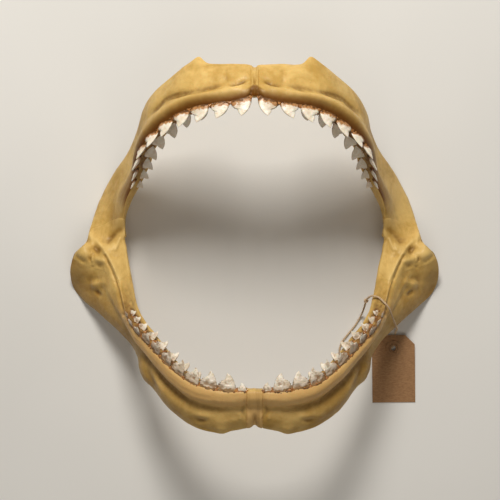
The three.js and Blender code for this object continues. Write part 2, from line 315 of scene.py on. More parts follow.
def tube_shell(grid: np.ndarray, values: dict[str, np.ndarray] | None = None) -> Shell:
    """A closed skin over a grid of rings, each closed, with a fan on either end.

    Args:
        grid: Rings of points, as ring, point, coordinate.
        values: Values for its material, one for each point of the grid.

    Returns:
        The shell, its faces turned outwards.
    """
    rings, count = grid.shape[:2]
    index = np.arange(rings * count).reshape(rings, count)
    turned = np.roll(index, -1, axis=1)
    quads = np.stack([index[:-1], turned[:-1], turned[1:], index[1:]], axis=-1).reshape(-1, 4)
    hubs = np.array([grid[0].mean(axis=0), grid[-1].mean(axis=0)])
    first = np.stack([index[0], np.full(count, rings * count), turned[0]], axis=-1)
    last = np.stack([turned[-1], np.full(count, rings * count + 1), index[-1]], axis=-1)
    flat = {}
    for name, value in (values or {}).items():
        flat[name] = np.concatenate([value.ravel(), [value[0].mean(), value[-1].mean()]])
    points = np.vstack([grid.reshape(-1, 3), hubs])
    return Shell(points, [quads, first, last], flat).outward()


def carried(path: np.ndarray) -> tuple[np.ndarray, np.ndarray]:
    """Two directions across a path at each of its points, carried along it without a twist.

    Args:
        path: Points in a row.

    Returns:
        Both directions, each with one unit vector for each point.
    """
    along = unit(np.gradient(path, axis=0))
    sideways = np.empty_like(path)
    start = np.cross(along[0], (0, 0, 1) if abs(along[0][2]) < 0.9 else (1, 0, 0))
    sideways[0] = start / np.linalg.norm(start)
    for i in range(1, len(path)):
        next_one = sideways[i - 1] - along[i] * np.dot(sideways[i - 1], along[i])
        sideways[i] = next_one / np.linalg.norm(next_one)
    return sideways, np.cross(along, sideways)


def rod(path: np.ndarray, radius: np.ndarray | float, sides: int) -> Shell:
    """A round rod along a path.

    Args:
        path: Its middle line.
        radius: Its radius, or one for each point of the path.
        sides: Points round it.

    Returns:
        The shell.
    """
    first, second = carried(path)
    turn = np.arange(sides) * 2 * math.pi / sides
    radii = np.broadcast_to(radius, len(path))[:, None, None]
    ring = first[:, None] * np.cos(turn)[None, :, None] + second[:, None] * np.sin(turn)[None, :, None]
    return tube_shell(path[:, None] + ring * radii)


# ---- shader nodes -----------------------------------------------------------------------


class Graph:
    """A node tree that is being built."""

    def __init__(self, tree: bpy.types.NodeTree) -> None:
        """Starts with an empty tree."""
        self.tree = tree
        tree.nodes.clear()

    def add(self, kind: str, **inputs: object) -> bpy.types.Node:
        """Adds a node.

        Args:
            kind: The node's type, without its ShaderNode prefix.
            inputs: Values or output sockets for its inputs, with _ for a blank in a name, and
                properties of the node with a p_ before their name.

        Returns:
            The node.
        """
        node = self.tree.nodes.new(kind if kind.startswith("Node") else "ShaderNode" + kind)
        for name, value in inputs.items():
            if name.startswith("p_"):
                setattr(node, name[2:], value)
        for name, value in inputs.items():
            if not name.startswith("p_"):
                self.feed(node, name.replace("_", " "), value)
        return node

    def feed(self, node: bpy.types.Node, name: str, value: object) -> None:
        """Sets or links one input of a node.

        Args:
            node: The node.
            name: The input's name, or its number as i0, i1.
            value: A number, a colour or an output socket.
        """
        socket = node.inputs[int(name[1:])] if name[1:].isdigit() else node.inputs[name]
        if isinstance(value, bpy.types.NodeSocket):
            self.tree.links.new(value, socket)
        elif isinstance(value, tuple) and len(value) == 3 and socket.type == "RGBA":
            socket.default_value = (*value, 1.0)
        else:
            socket.default_value = value

    def math(self, operation: str, *values: object) -> bpy.types.NodeSocket:
        """A Math node's result."""
        inputs = {f"i{k}": value for k, value in enumerate(values)}
        return self.add("Math", p_operation=operation, **inputs).outputs[0]

    def mix(self, amount: object, first: object, second: object) -> bpy.types.NodeSocket:
        """Mixes two colours, by a number or a socket."""
        return self.add("Mix", p_data_type="RGBA", i0=amount, i6=first, i7=second).outputs[2]

    def span(self, value: object, low: float, high: float, to_low: object = 0.0,
             to_high: object = 1.0) -> bpy.types.NodeSocket:
        """A value carried from one range to another, smoothly and within it."""
        node = self.add("MapRange", p_interpolation_type="SMOOTHSTEP", Value=value, From_Min=low,
                        From_Max=high, To_Min=to_low, To_Max=to_high)
        return node.outputs[0]

    def attribute(self, name: str) -> bpy.types.NodeSocket:
        """A value that the mesh carries."""
        return self.add("Attribute", p_attribute_name=name).outputs["Fac"]

    def place(self) -> bpy.types.NodeSocket:
        """The point on the object, in metres."""
        return self.add("TexCoord").outputs["Object"]


def new_group(name: str, inputs: dict[str, object], outputs: dict[str, str]) -> tuple[Graph, object, object]:
    """Starts a node group.

    Args:
        name: Its name.
        inputs: Names of its inputs, each with its default number, colour or None for a vector.
        outputs: Names of its outputs, each with its socket type.

    Returns:
        Its graph, its input node and its output node.
    """
    tree = bpy.data.node_groups.new(name, "ShaderNodeTree")
    graph = Graph(tree)
    for key, value in inputs.items():
        kind = "NodeSocketVector" if value is None else "NodeSocketFloat"
        if isinstance(value, tuple):
            kind = "NodeSocketColor"
        socket = tree.interface.new_socket(name=key, in_out="INPUT", socket_type=kind)
        if isinstance(value, tuple):
            socket.default_value = (*value, 1.0)
        elif value is not None:
            socket.default_value = value
    for key, kind in outputs.items():
        tree.interface.new_socket(name=key, in_out="OUTPUT", socket_type="NodeSocket" + kind)
    return graph, tree.nodes.new("NodeGroupInput"), tree.nodes.new("NodeGroupOutput")


class Effects:
    """Effects that several finishes share, each built once as a node group."""

    def __init__(self) -> None:
        """Builds the groups."""
        self.mottle = self._mottle()
        self.cavity = self._cavity()
        self.grain = self._grain()
        self.fibre = self._fibre()
        self.specks = self._specks()

    @staticmethod
    def _mottle() -> bpy.types.NodeTree:
        """Broad and fine patches of two colours.

        Returns:
            The node group.
        """
        graph, given, out = new_group(
            "Mottle", {"Place": None, "Size": 60.0, "Fineness": 5.0, "Light": (0.7, 0.5, 0.2),
                       "Deep": (0.5, 0.3, 0.1)},
            {"Color": "Color", "Mask": "Float"})
        broad = graph.add("TexNoise", Vector=given.outputs["Place"], Scale=given.outputs["Size"],
                          Detail=3.0, Roughness=0.55, Distortion=0.6)
        scale = graph.math("MULTIPLY", given.outputs["Size"], given.outputs["Fineness"])
        fine = graph.add("TexNoise", Vector=given.outputs["Place"], Scale=scale, Detail=5.0, Roughness=0.6)
        both = graph.math("ADD", graph.math("MULTIPLY", broad.outputs[0], 0.7),
                          graph.math("MULTIPLY", fine.outputs[0], 0.3))
        mask = graph.span(both, 0.36, 0.64)
        graph.feed(out, "Color", graph.mix(mask, given.outputs["Light"], given.outputs["Deep"]))
        graph.feed(out, "Mask", mask)
        return graph.tree

    @staticmethod
    def _cavity() -> bpy.types.NodeTree:
        """Painted shade with grime in hollows, and a painted highlight with wear that brightens ridges.

        Returns:
            The node group.
        """
        graph, given, out = new_group(
            "Hollows and ridges",
            {"Place": None, "Hollow": 0.0, "Amount": 0.7, "Rub": 0.3, "Color": (0.5, 0.5, 0.5),
             "Dirt": (0.2, 0.1, 0.03), "Worn": (0.8, 0.7, 0.5)},
            {"Color": "Color"})
        patchy = graph.add("TexNoise", Vector=given.outputs["Place"], Scale=260.0, Detail=4.0)
        uneven = graph.span(patchy.outputs[0], 0.3, 0.7, 0.75, 1.1)
        depth = graph.span(given.outputs["Hollow"], 0.0, 1.0)
        # Painted shade with grime, deeper in the hollows and patchy.
        dirt = graph.math("MULTIPLY", graph.math("MULTIPLY", depth, uneven), given.outputs["Amount"])
        # Painted highlight with wear, on the ridges.
        crest = graph.span(given.outputs["Hollow"], 0.0, -1.0)
        rub = graph.math("MULTIPLY", crest, given.outputs["Rub"])
        worn = graph.mix(rub, given.outputs["Color"], given.outputs["Worn"])
        graph.feed(out, "Color", graph.mix(dirt, worn, given.outputs["Dirt"]))
        return graph.tree

    @staticmethod
    def _grain() -> bpy.types.NodeTree:
        """Fine pits and lumps, for a bump and for uneven gloss.

        Returns:
            The node group.
        """
        graph, given, out = new_group(
            "Surface grain", {"Place": None, "Size": 400.0, "Pits": 0.4, "Low": 0.4, "High": 0.6},
            {"Height": "Float", "Roughness": "Float"})
        lumps = graph.add("TexNoise", Vector=given.outputs["Place"], Scale=given.outputs["Size"],
                          Detail=6.0, Roughness=0.6)
        cells = graph.add("TexVoronoi", Vector=given.outputs["Place"], p_feature="SMOOTH_F1",
                          Scale=graph.math("MULTIPLY", given.outputs["Size"], 1.7), Smoothness=0.4)
        pits = graph.math("MULTIPLY", graph.span(cells.outputs["Distance"], 0.0, 0.35, 1.0, 0.0),
                          given.outputs["Pits"])
        graph.feed(out, "Height", graph.math("SUBTRACT", lumps.outputs[0], pits))
        graph.feed(out, "Roughness",
                   graph.span(lumps.outputs[0], 0.35, 0.65, given.outputs["Low"], given.outputs["High"]))
        return graph.tree

    @staticmethod
    def _fibre() -> bpy.types.NodeTree:
        """Streaks that run one way, as in card, twine and dried ligament.

        Returns:
            The node group.
        """
        graph, given, out = new_group(
            "Streaks", {"Place": None, "Size": 900.0, "Light": (0.7, 0.6, 0.4), "Deep": (0.4, 0.3, 0.2)},
            {"Color": "Color", "Height": "Float"})
        streaks = graph.add("TexNoise", Vector=given.outputs["Place"], Scale=given.outputs["Size"],
                            Detail=4.0, Roughness=0.65, Distortion=0.4)
        mask = graph.span(streaks.outputs[0], 0.3, 0.7)
        graph.feed(out, "Color", graph.mix(mask, given.outputs["Deep"], given.outputs["Light"]))
        graph.feed(out, "Height", mask)
        return graph.tree

    @staticmethod
    def _specks() -> bpy.types.NodeTree:
        """Scattered small stains.

        Returns:
            The node group.
        """
        graph, given, out = new_group(
            "Specks", {"Place": None, "Size": 300.0, "Amount": 0.5, "Color": (0.5, 0.5, 0.5),
                       "Stain": (0.2, 0.1, 0.05)},
            {"Color": "Color"})
        cells = graph.add("TexVoronoi", Vector=given.outputs["Place"], Scale=given.outputs["Size"])
        where = graph.add("TexNoise", Vector=given.outputs["Place"], Scale=90.0, Detail=2.0)
        dots = graph.span(cells.outputs["Distance"], 0.22, 0.05)
        mask = graph.math("MULTIPLY", graph.math("MULTIPLY", dots, graph.span(where.outputs[0], 0.5, 0.62)),
                          given.outputs["Amount"])
        graph.feed(out, "Color", graph.mix(mask, given.outputs["Color"], given.outputs["Stain"]))
        return graph.tree


def place_group(graph: Graph, tree: bpy.types.NodeTree, **inputs: object) -> bpy.types.Node:
    """Places a node group in a material, with its inputs.

    Args:
        graph: The material's graph.
        tree: The node group.
        inputs: Values or output sockets, with _ for a blank in an input's name.

    Returns:
        The placed node.
    """
    node = graph.add("Group", p_node_tree=tree)
    for name, value in inputs.items():
        graph.feed(node, name.replace("_", " "), value)
    return node


def new_material(name: str) -> tuple[Graph, bpy.types.Node]:
    """Starts a material.

    Args:
        name: Its name.

    Returns:
        Its graph and its Principled shader.
    """
    material = bpy.data.materials.new(name)
    material.use_nodes = True
    graph = Graph(material.node_tree)
    shader = graph.add("BsdfPrincipled")
    graph.add("OutputMaterial", Surface=shader.outputs[0])
    return graph, shader


def finish_material(graph: Graph, shader: bpy.types.Node, colour: bpy.types.NodeSocket,
                    roughness: bpy.types.NodeSocket, height: bpy.types.NodeSocket, depth: float,
                    strength: float) -> bpy.types.Material:
    """Feeds a shader and returns its material.

    Args:
        graph: The material's graph.
        shader: Its shader.
        colour: Base colour.
        roughness: Roughness.
        height: Height of the surface detail, 0 to 1.
        depth: How deep that detail is, in metres.
        strength: How much of it shows.

    Returns:
        The material.
    """
    bump = graph.add("Bump", Height=height, Distance=depth, Strength=strength)
    graph.feed(shader, "Base Color", colour)
    graph.feed(shader, "Roughness", roughness)
    graph.feed(shader, "Normal", bump.outputs[0])
    return next(m for m in bpy.data.materials if m.node_tree == graph.tree)


@dataclass(frozen=True)
class CartilageFinish:
    """Dried, varnished cartilage, darkened in its folds by painted shade and grime, and brown along its gums.
    """

    name: str = "varnished_cartilage"
    light: Colour = (0.69, 0.46, 0.15)
    deep: Colour = (0.50, 0.30, 0.07)
    # Painted shade with grime, for the hollows.
    dirt: Colour = (0.15, 0.063, 0.006)
    # Painted highlight with wear, for the ridges.
    worn: Colour = (0.80, 0.58, 0.23)
    gum: Colour = (0.20, 0.085, 0.02)
    # Painted shade with some staining, along the lip, inside the rear and on the lower face.
    stain: Colour = (0.14, 0.045, 0.003)
    flesh: Colour = (0.66, 0.40, 0.155)
    amount: float = 0.7
    rub: float = 0.22
    roughness: Pair = (0.38, 0.55)

    def build(self, effects: Effects) -> bpy.types.Material:
        """Builds the material.

        Args:
            effects: The shared node groups.

        Returns:
            The material.
        """
        graph, shader = new_material(self.name)
        place = graph.place()
        patches = place_group(graph, effects.mottle, Place=place, Size=34.0, Fineness=6.0, Light=self.light,
                              Deep=self.deep)
        fleshy = graph.mix(graph.attribute("lip"), patches.outputs["Color"], self.flesh)
        # Hollows get painted shade with grime, ridges a painted highlight with wear.
        hollows = place_group(graph, effects.cavity, Place=place, Hollow=graph.attribute("hollow"),
                              Amount=self.amount, Rub=self.rub, Color=fleshy, Dirt=self.dirt,
                              Worn=self.worn)
        specks = place_group(graph, effects.specks, Place=place, Size=420.0, Amount=0.35,
                             Color=hollows.outputs["Color"], Stain=self.dirt)
        streaks = place_group(graph, effects.fibre, Place=place, Size=150.0, Light=self.gum,
                              Deep=tuple(c * 0.5 for c in self.gum))
        gum = graph.span(graph.attribute("gum"), 0.05, 0.95)
        # Painted shade with some staining, where the skin is tinted brown.
        shaded_and_browned = graph.mix(graph.attribute("stain"), specks.outputs["Color"], self.stain)
        colour = graph.mix(gum, shaded_and_browned, streaks.outputs["Color"])
        grain = place_group(graph, effects.grain, Place=place, Size=330.0, Pits=0.25, Low=self.roughness[0],
                            High=self.roughness[1])
        shader.inputs["Specular IOR Level"].default_value = 0.22
        shader.inputs["Coat Weight"].default_value = 0.04
        shader.inputs["Coat Roughness"].default_value = 0.28
        shader.inputs["Subsurface Weight"].default_value = 0.06
        shader.inputs["Subsurface Scale"].default_value = 0.004
        return finish_material(graph, shader, colour, grain.outputs["Roughness"],
                               grain.outputs["Height"], depth=0.0004, strength=0.7)


@dataclass(frozen=True)
class LigamentFinish:
    """Dried ligament, of the cartilage's colour but streaked along its fibres."""

    name: str = "dried_ligament"
    light: Colour = (0.69, 0.46, 0.15)
    deep: Colour = (0.50, 0.30, 0.07)
    # Painted shade with grime, for the hollows.
    dirt: Colour = (0.15, 0.063, 0.006)
    # Painted highlight with wear, for the ridges.
    worn: Colour = (0.80, 0.58, 0.23)
    # Painted shade with some staining, along the lip.
    stain: Colour = (0.14, 0.045, 0.003)
    flesh: Colour = (0.66, 0.40, 0.155)

    def build(self, effects: Effects) -> bpy.types.Material:
        """Builds the material.

        Args:
            effects: The shared node groups.

        Returns:
            The material.
        """
        graph, shader = new_material(self.name)
        place = graph.place()
        drawn = graph.add("Mapping", Vector=place)
        drawn.inputs["Scale"].default_value = (1.0, 0.3, 0.3)
        streaks = place_group(graph, effects.fibre, Place=drawn.outputs[0], Size=300.0, Light=self.light,
                              Deep=tuple(c * 0.85 for c in self.deep))
        patches = place_group(graph, effects.mottle, Place=place, Size=34.0, Fineness=6.0, Light=self.light,
                              Deep=self.deep)
        streaked = graph.mix(0.35, patches.outputs["Color"], streaks.outputs["Color"])
        streaked = graph.mix(graph.attribute("lip"), streaked, self.flesh)
        # Hollows get painted shade with grime, ridges a painted highlight with wear.
        hollows = place_group(graph, effects.cavity, Place=place, Hollow=graph.attribute("hollow"),
                              Amount=0.7, Rub=0.35, Color=streaked, Dirt=self.dirt, Worn=self.worn)
        # Painted shade with some staining along the lip and in the hollow on the middle line.
        shaded_and_browned = graph.mix(graph.attribute("stain"), hollows.outputs["Color"], self.stain)
        grain = place_group(graph, effects.grain, Place=place, Size=420.0, Pits=0.25, Low=0.4, High=0.58)
        height = graph.math("ADD", grain.outputs["Height"], streaks.outputs["Height"])
        shader.inputs["Specular IOR Level"].default_value = 0.22
        shader.inputs["Coat Weight"].default_value = 0.04
        shader.inputs["Coat Roughness"].default_value = 0.3
        return finish_material(graph, shader, shaded_and_browned, grain.outputs["Roughness"], height,
                               depth=0.00015, strength=0.4)


@dataclass(frozen=True)
class ToothFinish:
    """Enamel on the crown, and the dull, pitted root under it, with painted shade and age staining towards
    the crown's base and in its small hollows.
    """

    name: str = "tooth_enamel"
    enamel: Colour = (0.88, 0.82, 0.71)
    cream: Colour = (0.80, 0.69, 0.53)
    root: Colour = (0.42, 0.25, 0.10)
    stain: Colour = (0.42, 0.16, 0.02)
    gum: Colour = (0.12, 0.045, 0.006)
    # Painted shade with age staining, towards the crown's base, in its small hollows and on teeth that lie in
    # shadow.
    dirt: Colour = (0.26, 0.145, 0.065)

    def build(self, effects: Effects) -> bpy.types.Material:
        """Builds the material.

        Args:
            effects: The shared node groups.

        Returns:
            The material.
        """
        graph, shader = new_material(self.name)
        place = graph.place()
        enamel = place_group(graph, effects.mottle, Place=place, Size=160.0, Fineness=4.0, Light=self.enamel,
                             Deep=self.cream)
        root = place_group(graph, effects.mottle, Place=place, Size=420.0, Fineness=3.0, Light=self.root,
                           Deep=tuple(c * 0.55 for c in self.root))
        height = graph.attribute("crown")
        ragged = graph.add("TexNoise", Vector=place, Scale=420.0, Detail=3.0)
        uneven = graph.math("MULTIPLY", graph.math("SUBTRACT", ragged.outputs[0], 0.5), 0.4)
        edge = graph.math("ADD", height, uneven)
        gummed = graph.attribute("gummed")
        orange = graph.math("MULTIPLY", graph.span(edge, 0.19, 0.09, 0.0, 0.9), gummed)
        stained = graph.mix(orange, enamel.outputs["Color"], self.stain)
        rooted = graph.mix(gummed, root.outputs["Color"], self.gum)
        colour = graph.mix(graph.span(edge, 0.05, -0.02), stained, rooted)
        # Painted shade with age staining: darker towards the crown's base, in random patches, in small
        # hollows and on teeth in shadow.
        old = graph.attribute("old")
        crevices = graph.span(enamel.outputs["Mask"], 0.35, 0.75, 0.1, 0.9)
        low = graph.math("MAXIMUM", graph.span(edge, 0.55, 0.25, 0.1, 0.9), crevices)
        aged_and_shaded = graph.mix(graph.math("MULTIPLY", old, low), colour, self.dirt)
        grain = place_group(graph, effects.grain, Place=place, Size=900.0, Pits=0.3, Low=0.25, High=0.42)
        rough = graph.math("ADD", grain.outputs["Roughness"], graph.span(edge, 0.03, -0.04, 0.0, 0.35))
        shader.inputs["Specular IOR Level"].default_value = 0.35
        shader.inputs["Coat Weight"].default_value = 0.08
        shader.inputs["Coat Roughness"].default_value = 0.2
        shader.inputs["Subsurface Weight"].default_value = 0.08
        shader.inputs["Subsurface Scale"].default_value = 0.002
        return finish_material(graph, shader, aged_and_shaded, rough, grain.outputs["Height"],
                               depth=0.0003, strength=0.7)


@dataclass(frozen=True)
class GumFinish:
    """Shrunken gum, orange brown and glossy in places."""

    name: str = "dried_gum"
    light: Colour = (0.50, 0.21, 0.045)
    deep: Colour = (0.20, 0.065, 0.012)
    dark: Colour = (0.20, 0.085, 0.016)

    def build(self, effects: Effects) -> bpy.types.Material:
        """Builds the material.

        Args:
            effects: The shared node groups.

        Returns:
            The material.
        """
        graph, shader = new_material(self.name)
        place = graph.place()
        patches = place_group(graph, effects.mottle, Place=place, Size=240.0, Fineness=4.0, Light=self.light,
                              Deep=self.deep)
        dark = place_group(graph, effects.mottle, Place=place, Size=300.0, Fineness=3.0, Light=self.dark,
                           Deep=tuple(c * 0.5 for c in self.dark))
        orange = graph.span(graph.attribute("junction"), 0.1, 0.7)
        colour = graph.mix(orange, dark.outputs["Color"], patches.outputs["Color"])
        grain = place_group(graph, effects.grain, Place=place, Size=700.0, Pits=0.5, Low=0.38, High=0.62)
        shader.inputs["Coat Weight"].default_value = 0.15
        return finish_material(graph, shader, colour, grain.outputs["Roughness"],
                               grain.outputs["Height"], depth=0.0005, strength=0.8)


@dataclass(frozen=True)
class CardFinish:
    """Brown kraft card with short fibres and a few flecks, and painted shade in the groove of its pressed
    ring.
    """

    name: str = "kraft_card"
    light: Colour = (0.36, 0.20, 0.095)
    deep: Colour = (0.235, 0.125, 0.058)
    # The flecks' colour, also used as painted shade in the pressed ring's groove.
    fleck_and_shade: Colour = (0.12, 0.06, 0.03)

    def build(self, effects: Effects) -> bpy.types.Material:
        """Builds the material.

        Args:
            effects: The shared node groups.

        Returns:
            The material.
        """
        graph, shader = new_material(self.name)
        place = graph.place()
        stretched = graph.add("Mapping", Vector=place)
        stretched.inputs["Scale"].default_value = (0.22, 1.0, 1.0)
        fibres = place_group(graph, effects.fibre, Place=stretched.outputs[0], Size=1500.0, Light=self.light,
                             Deep=self.deep)
        # Painted shade in the pressed ring's groove and at its edges.
        pressed = graph.mix(graph.attribute("hollow"), fibres.outputs["Color"], self.fleck_and_shade)
        flecks = place_group(graph, effects.specks, Place=place, Size=900.0, Amount=0.6,
                             Color=pressed, Stain=self.fleck_and_shade)
        grain = place_group(graph, effects.grain, Place=place, Size=1200.0, Pits=0.2, Low=0.8, High=0.95)
        height = graph.math("ADD", grain.outputs["Height"], fibres.outputs["Height"])
        shader.inputs["Specular IOR Level"].default_value = 0.25
        return finish_material(graph, shader, flecks.outputs["Color"], grain.outputs["Roughness"], height,
                               depth=0.00012, strength=0.6)


@dataclass(frozen=True)
class TwineFinish:
    """Pale jute with darker furrows between its fibres."""

    name: str = "jute_twine"
    light: Colour = (0.80, 0.62, 0.42)
    deep: Colour = (0.45, 0.31, 0.18)

    def build(self, effects: Effects) -> bpy.types.Material:
        """Builds the material.

        Args:
            effects: The shared node groups.

        Returns:
            The material.
        """
        graph, shader = new_material(self.name)
        place = graph.place()
        fibres = place_group(graph, effects.fibre, Place=place, Size=2600.0, Light=self.light,
                             Deep=self.deep)
        grain = place_group(graph, effects.grain, Place=place, Size=2400.0, Pits=0.2, Low=0.8, High=0.95)
        height = graph.math("ADD", grain.outputs["Height"], fibres.outputs["Height"])
        shader.inputs["Specular IOR Level"].default_value = 0.2
        return finish_material(graph, shader, fibres.outputs["Color"], grain.outputs["Roughness"], height,
                               depth=0.0002, strength=0.7)


@dataclass
class Finishes:
    """Every material of the part."""

    cartilage: bpy.types.Material
    ligament: bpy.types.Material
    tooth: bpy.types.Material
    gum: bpy.types.Material
    card: bpy.types.Material
    twine: bpy.types.Material

    @staticmethod
    def build() -> "Finishes":
        """Builds the shared effects, and the finishes that use them.

        Returns:
            The materials.
        """
        effects = Effects()
        kinds = (CartilageFinish, LigamentFinish, ToothFinish, GumFinish, CardFinish, TwineFinish)
        return Finishes(*(kind().build(effects) for kind in kinds))


# ---- studio -----------------------------------------------------------------------------


@dataclass(frozen=True)
class Lamp:
    """A square soft light that looks at the middle of the jaw. Its sizes are metres and watts."""

    name: str
    at: tuple[float, float, float]
    size: float
    power: float
    colour: Colour
    target: tuple[float, float, float] = (0, 0, 0.07)

    def build(self) -> None:
        """Makes the light."""
        data = bpy.data.lights.new(self.name, "AREA")
        data.shape = "SQUARE"
        data.size = self.size
        data.energy = self.power
        data.color = self.colour
        lamp = bpy.data.objects.new(self.name, data)
        lamp.location = self.at
        aim = Vector(self.target) - Vector(self.at)
        lamp.rotation_euler = aim.to_track_quat("-Z", "Y").to_euler()
        bpy.context.scene.collection.objects.link(lamp)


@dataclass
class Studio:
    """The camera, the pale floor and the soft light. Its sizes are metres."""

    eye: tuple[float, float, float] = (-0.0041, -0.005, 1.555)
    lens: float = 117.36
    sensor: float = 36.0
    floor_size: float = 6.0
    key: Lamp = Lamp("key", (-0.12, 1.15, 1.25), size=0.5, power=27, colour=(1.0, 0.965, 0.90))
    fill: Lamp = Lamp("fill", (0.2, -1.0, 1.6), size=1.2, power=5.6, colour=(1.0, 0.94, 0.85))
    room: Colour = (1.0, 0.94, 0.85)
    room_strength: float = 0.14

    def camera(self) -> None:
        """Makes the camera, which looks straight down into the gape."""
        data = bpy.data.cameras.new("camera")
        data.lens = self.lens
        data.sensor_width = self.sensor
        data.clip_start = 0.05
        data.clip_end = 50
        camera = bpy.data.objects.new("camera", data)
        camera.location = self.eye
        bpy.context.scene.collection.objects.link(camera)
        bpy.context.scene.camera = camera

    def floor(self) -> None:
        """Makes the pale floor."""
        half = self.floor_size / 2
        mesh = bpy.data.meshes.new("floor")
        corners = [(-half, -half, 0), (half, -half, 0), (half, half, 0), (-half, half, 0)]
        mesh.from_pydata(corners, [], [(0, 1, 2, 3)])
        graph, shader = new_material("pale_floor")
        shade = graph.add("TexNoise", Vector=graph.place(), Scale=3.0, Detail=2.0)
        colour = graph.mix(graph.span(shade.outputs[0], 0.3, 0.7), (0.70, 0.69, 0.67), (0.74, 0.73, 0.71))
        graph.feed(shader, "Base Color", colour)
        shader.inputs["Roughness"].default_value = 0.9
        mesh.materials.append(bpy.data.materials["pale_floor"])
        floor = bpy.data.objects.new("floor", mesh)
        bpy.context.scene.collection.objects.link(floor)

    def build(self) -> None:
        """Builds the floor, the lights and the world."""
        self.floor()
        for lamp in (self.key, self.fill):
            lamp.build()
        world = bpy.data.worlds.new("soft_room")
        world.use_nodes = True
        sky = world.node_tree.nodes["Background"]
        sky.inputs["Color"].default_value = (*self.room, 1.0)
        sky.inputs["Strength"].default_value = self.room_strength
        bpy.context.scene.world = world
        bpy.context.scene.view_settings.view_transform = "Standard"


# ---- arches -----------------------------------------------------------------------------


@dataclass(frozen=True)
class Fold:
    """A ridge or a furrow along a line on the upward side of an arch, as seen from above.

    points are its corners for the left side, width its half width and height how far it stands
    proud, below zero for a furrow. It fades out towards its ends over the share fade.
    """

    points: Points
    width: float
    height: float
    fade: float = 0.2

    def lift(self, plan: np.ndarray) -> np.ndarray:
        """How far it lifts points of the left side.

        Args:
            plan: Points as seen from above.

        Returns:
            One height for each point.
        """
        corners = np.array(self.points, float)
        lengths = np.linalg.norm(np.diff(corners, axis=0), axis=1)
        starts = np.concatenate([[0], np.cumsum(lengths)])
        best = np.full(plan.shape[:-1], FAR)
        share = np.zeros(plan.shape[:-1])
        for a, b, length, start in zip(corners[:-1], corners[1:], lengths, starts):
            t = np.clip(((plan - a) @ (b - a)) / length ** 2, 0, 1)
            off = np.linalg.norm(plan - a - t[..., None] * (b - a), axis=-1)
            nearer = off < best
            best = np.where(nearer, off, best)
            share = np.where(nearer, (start + t * length) / starts[-1], share)
        ends = ramp(0, self.fade, share) * ramp(0, self.fade, 1 - share) if self.fade else 1.0
        return self.height * np.exp(-(best / self.width) ** 2) * ends


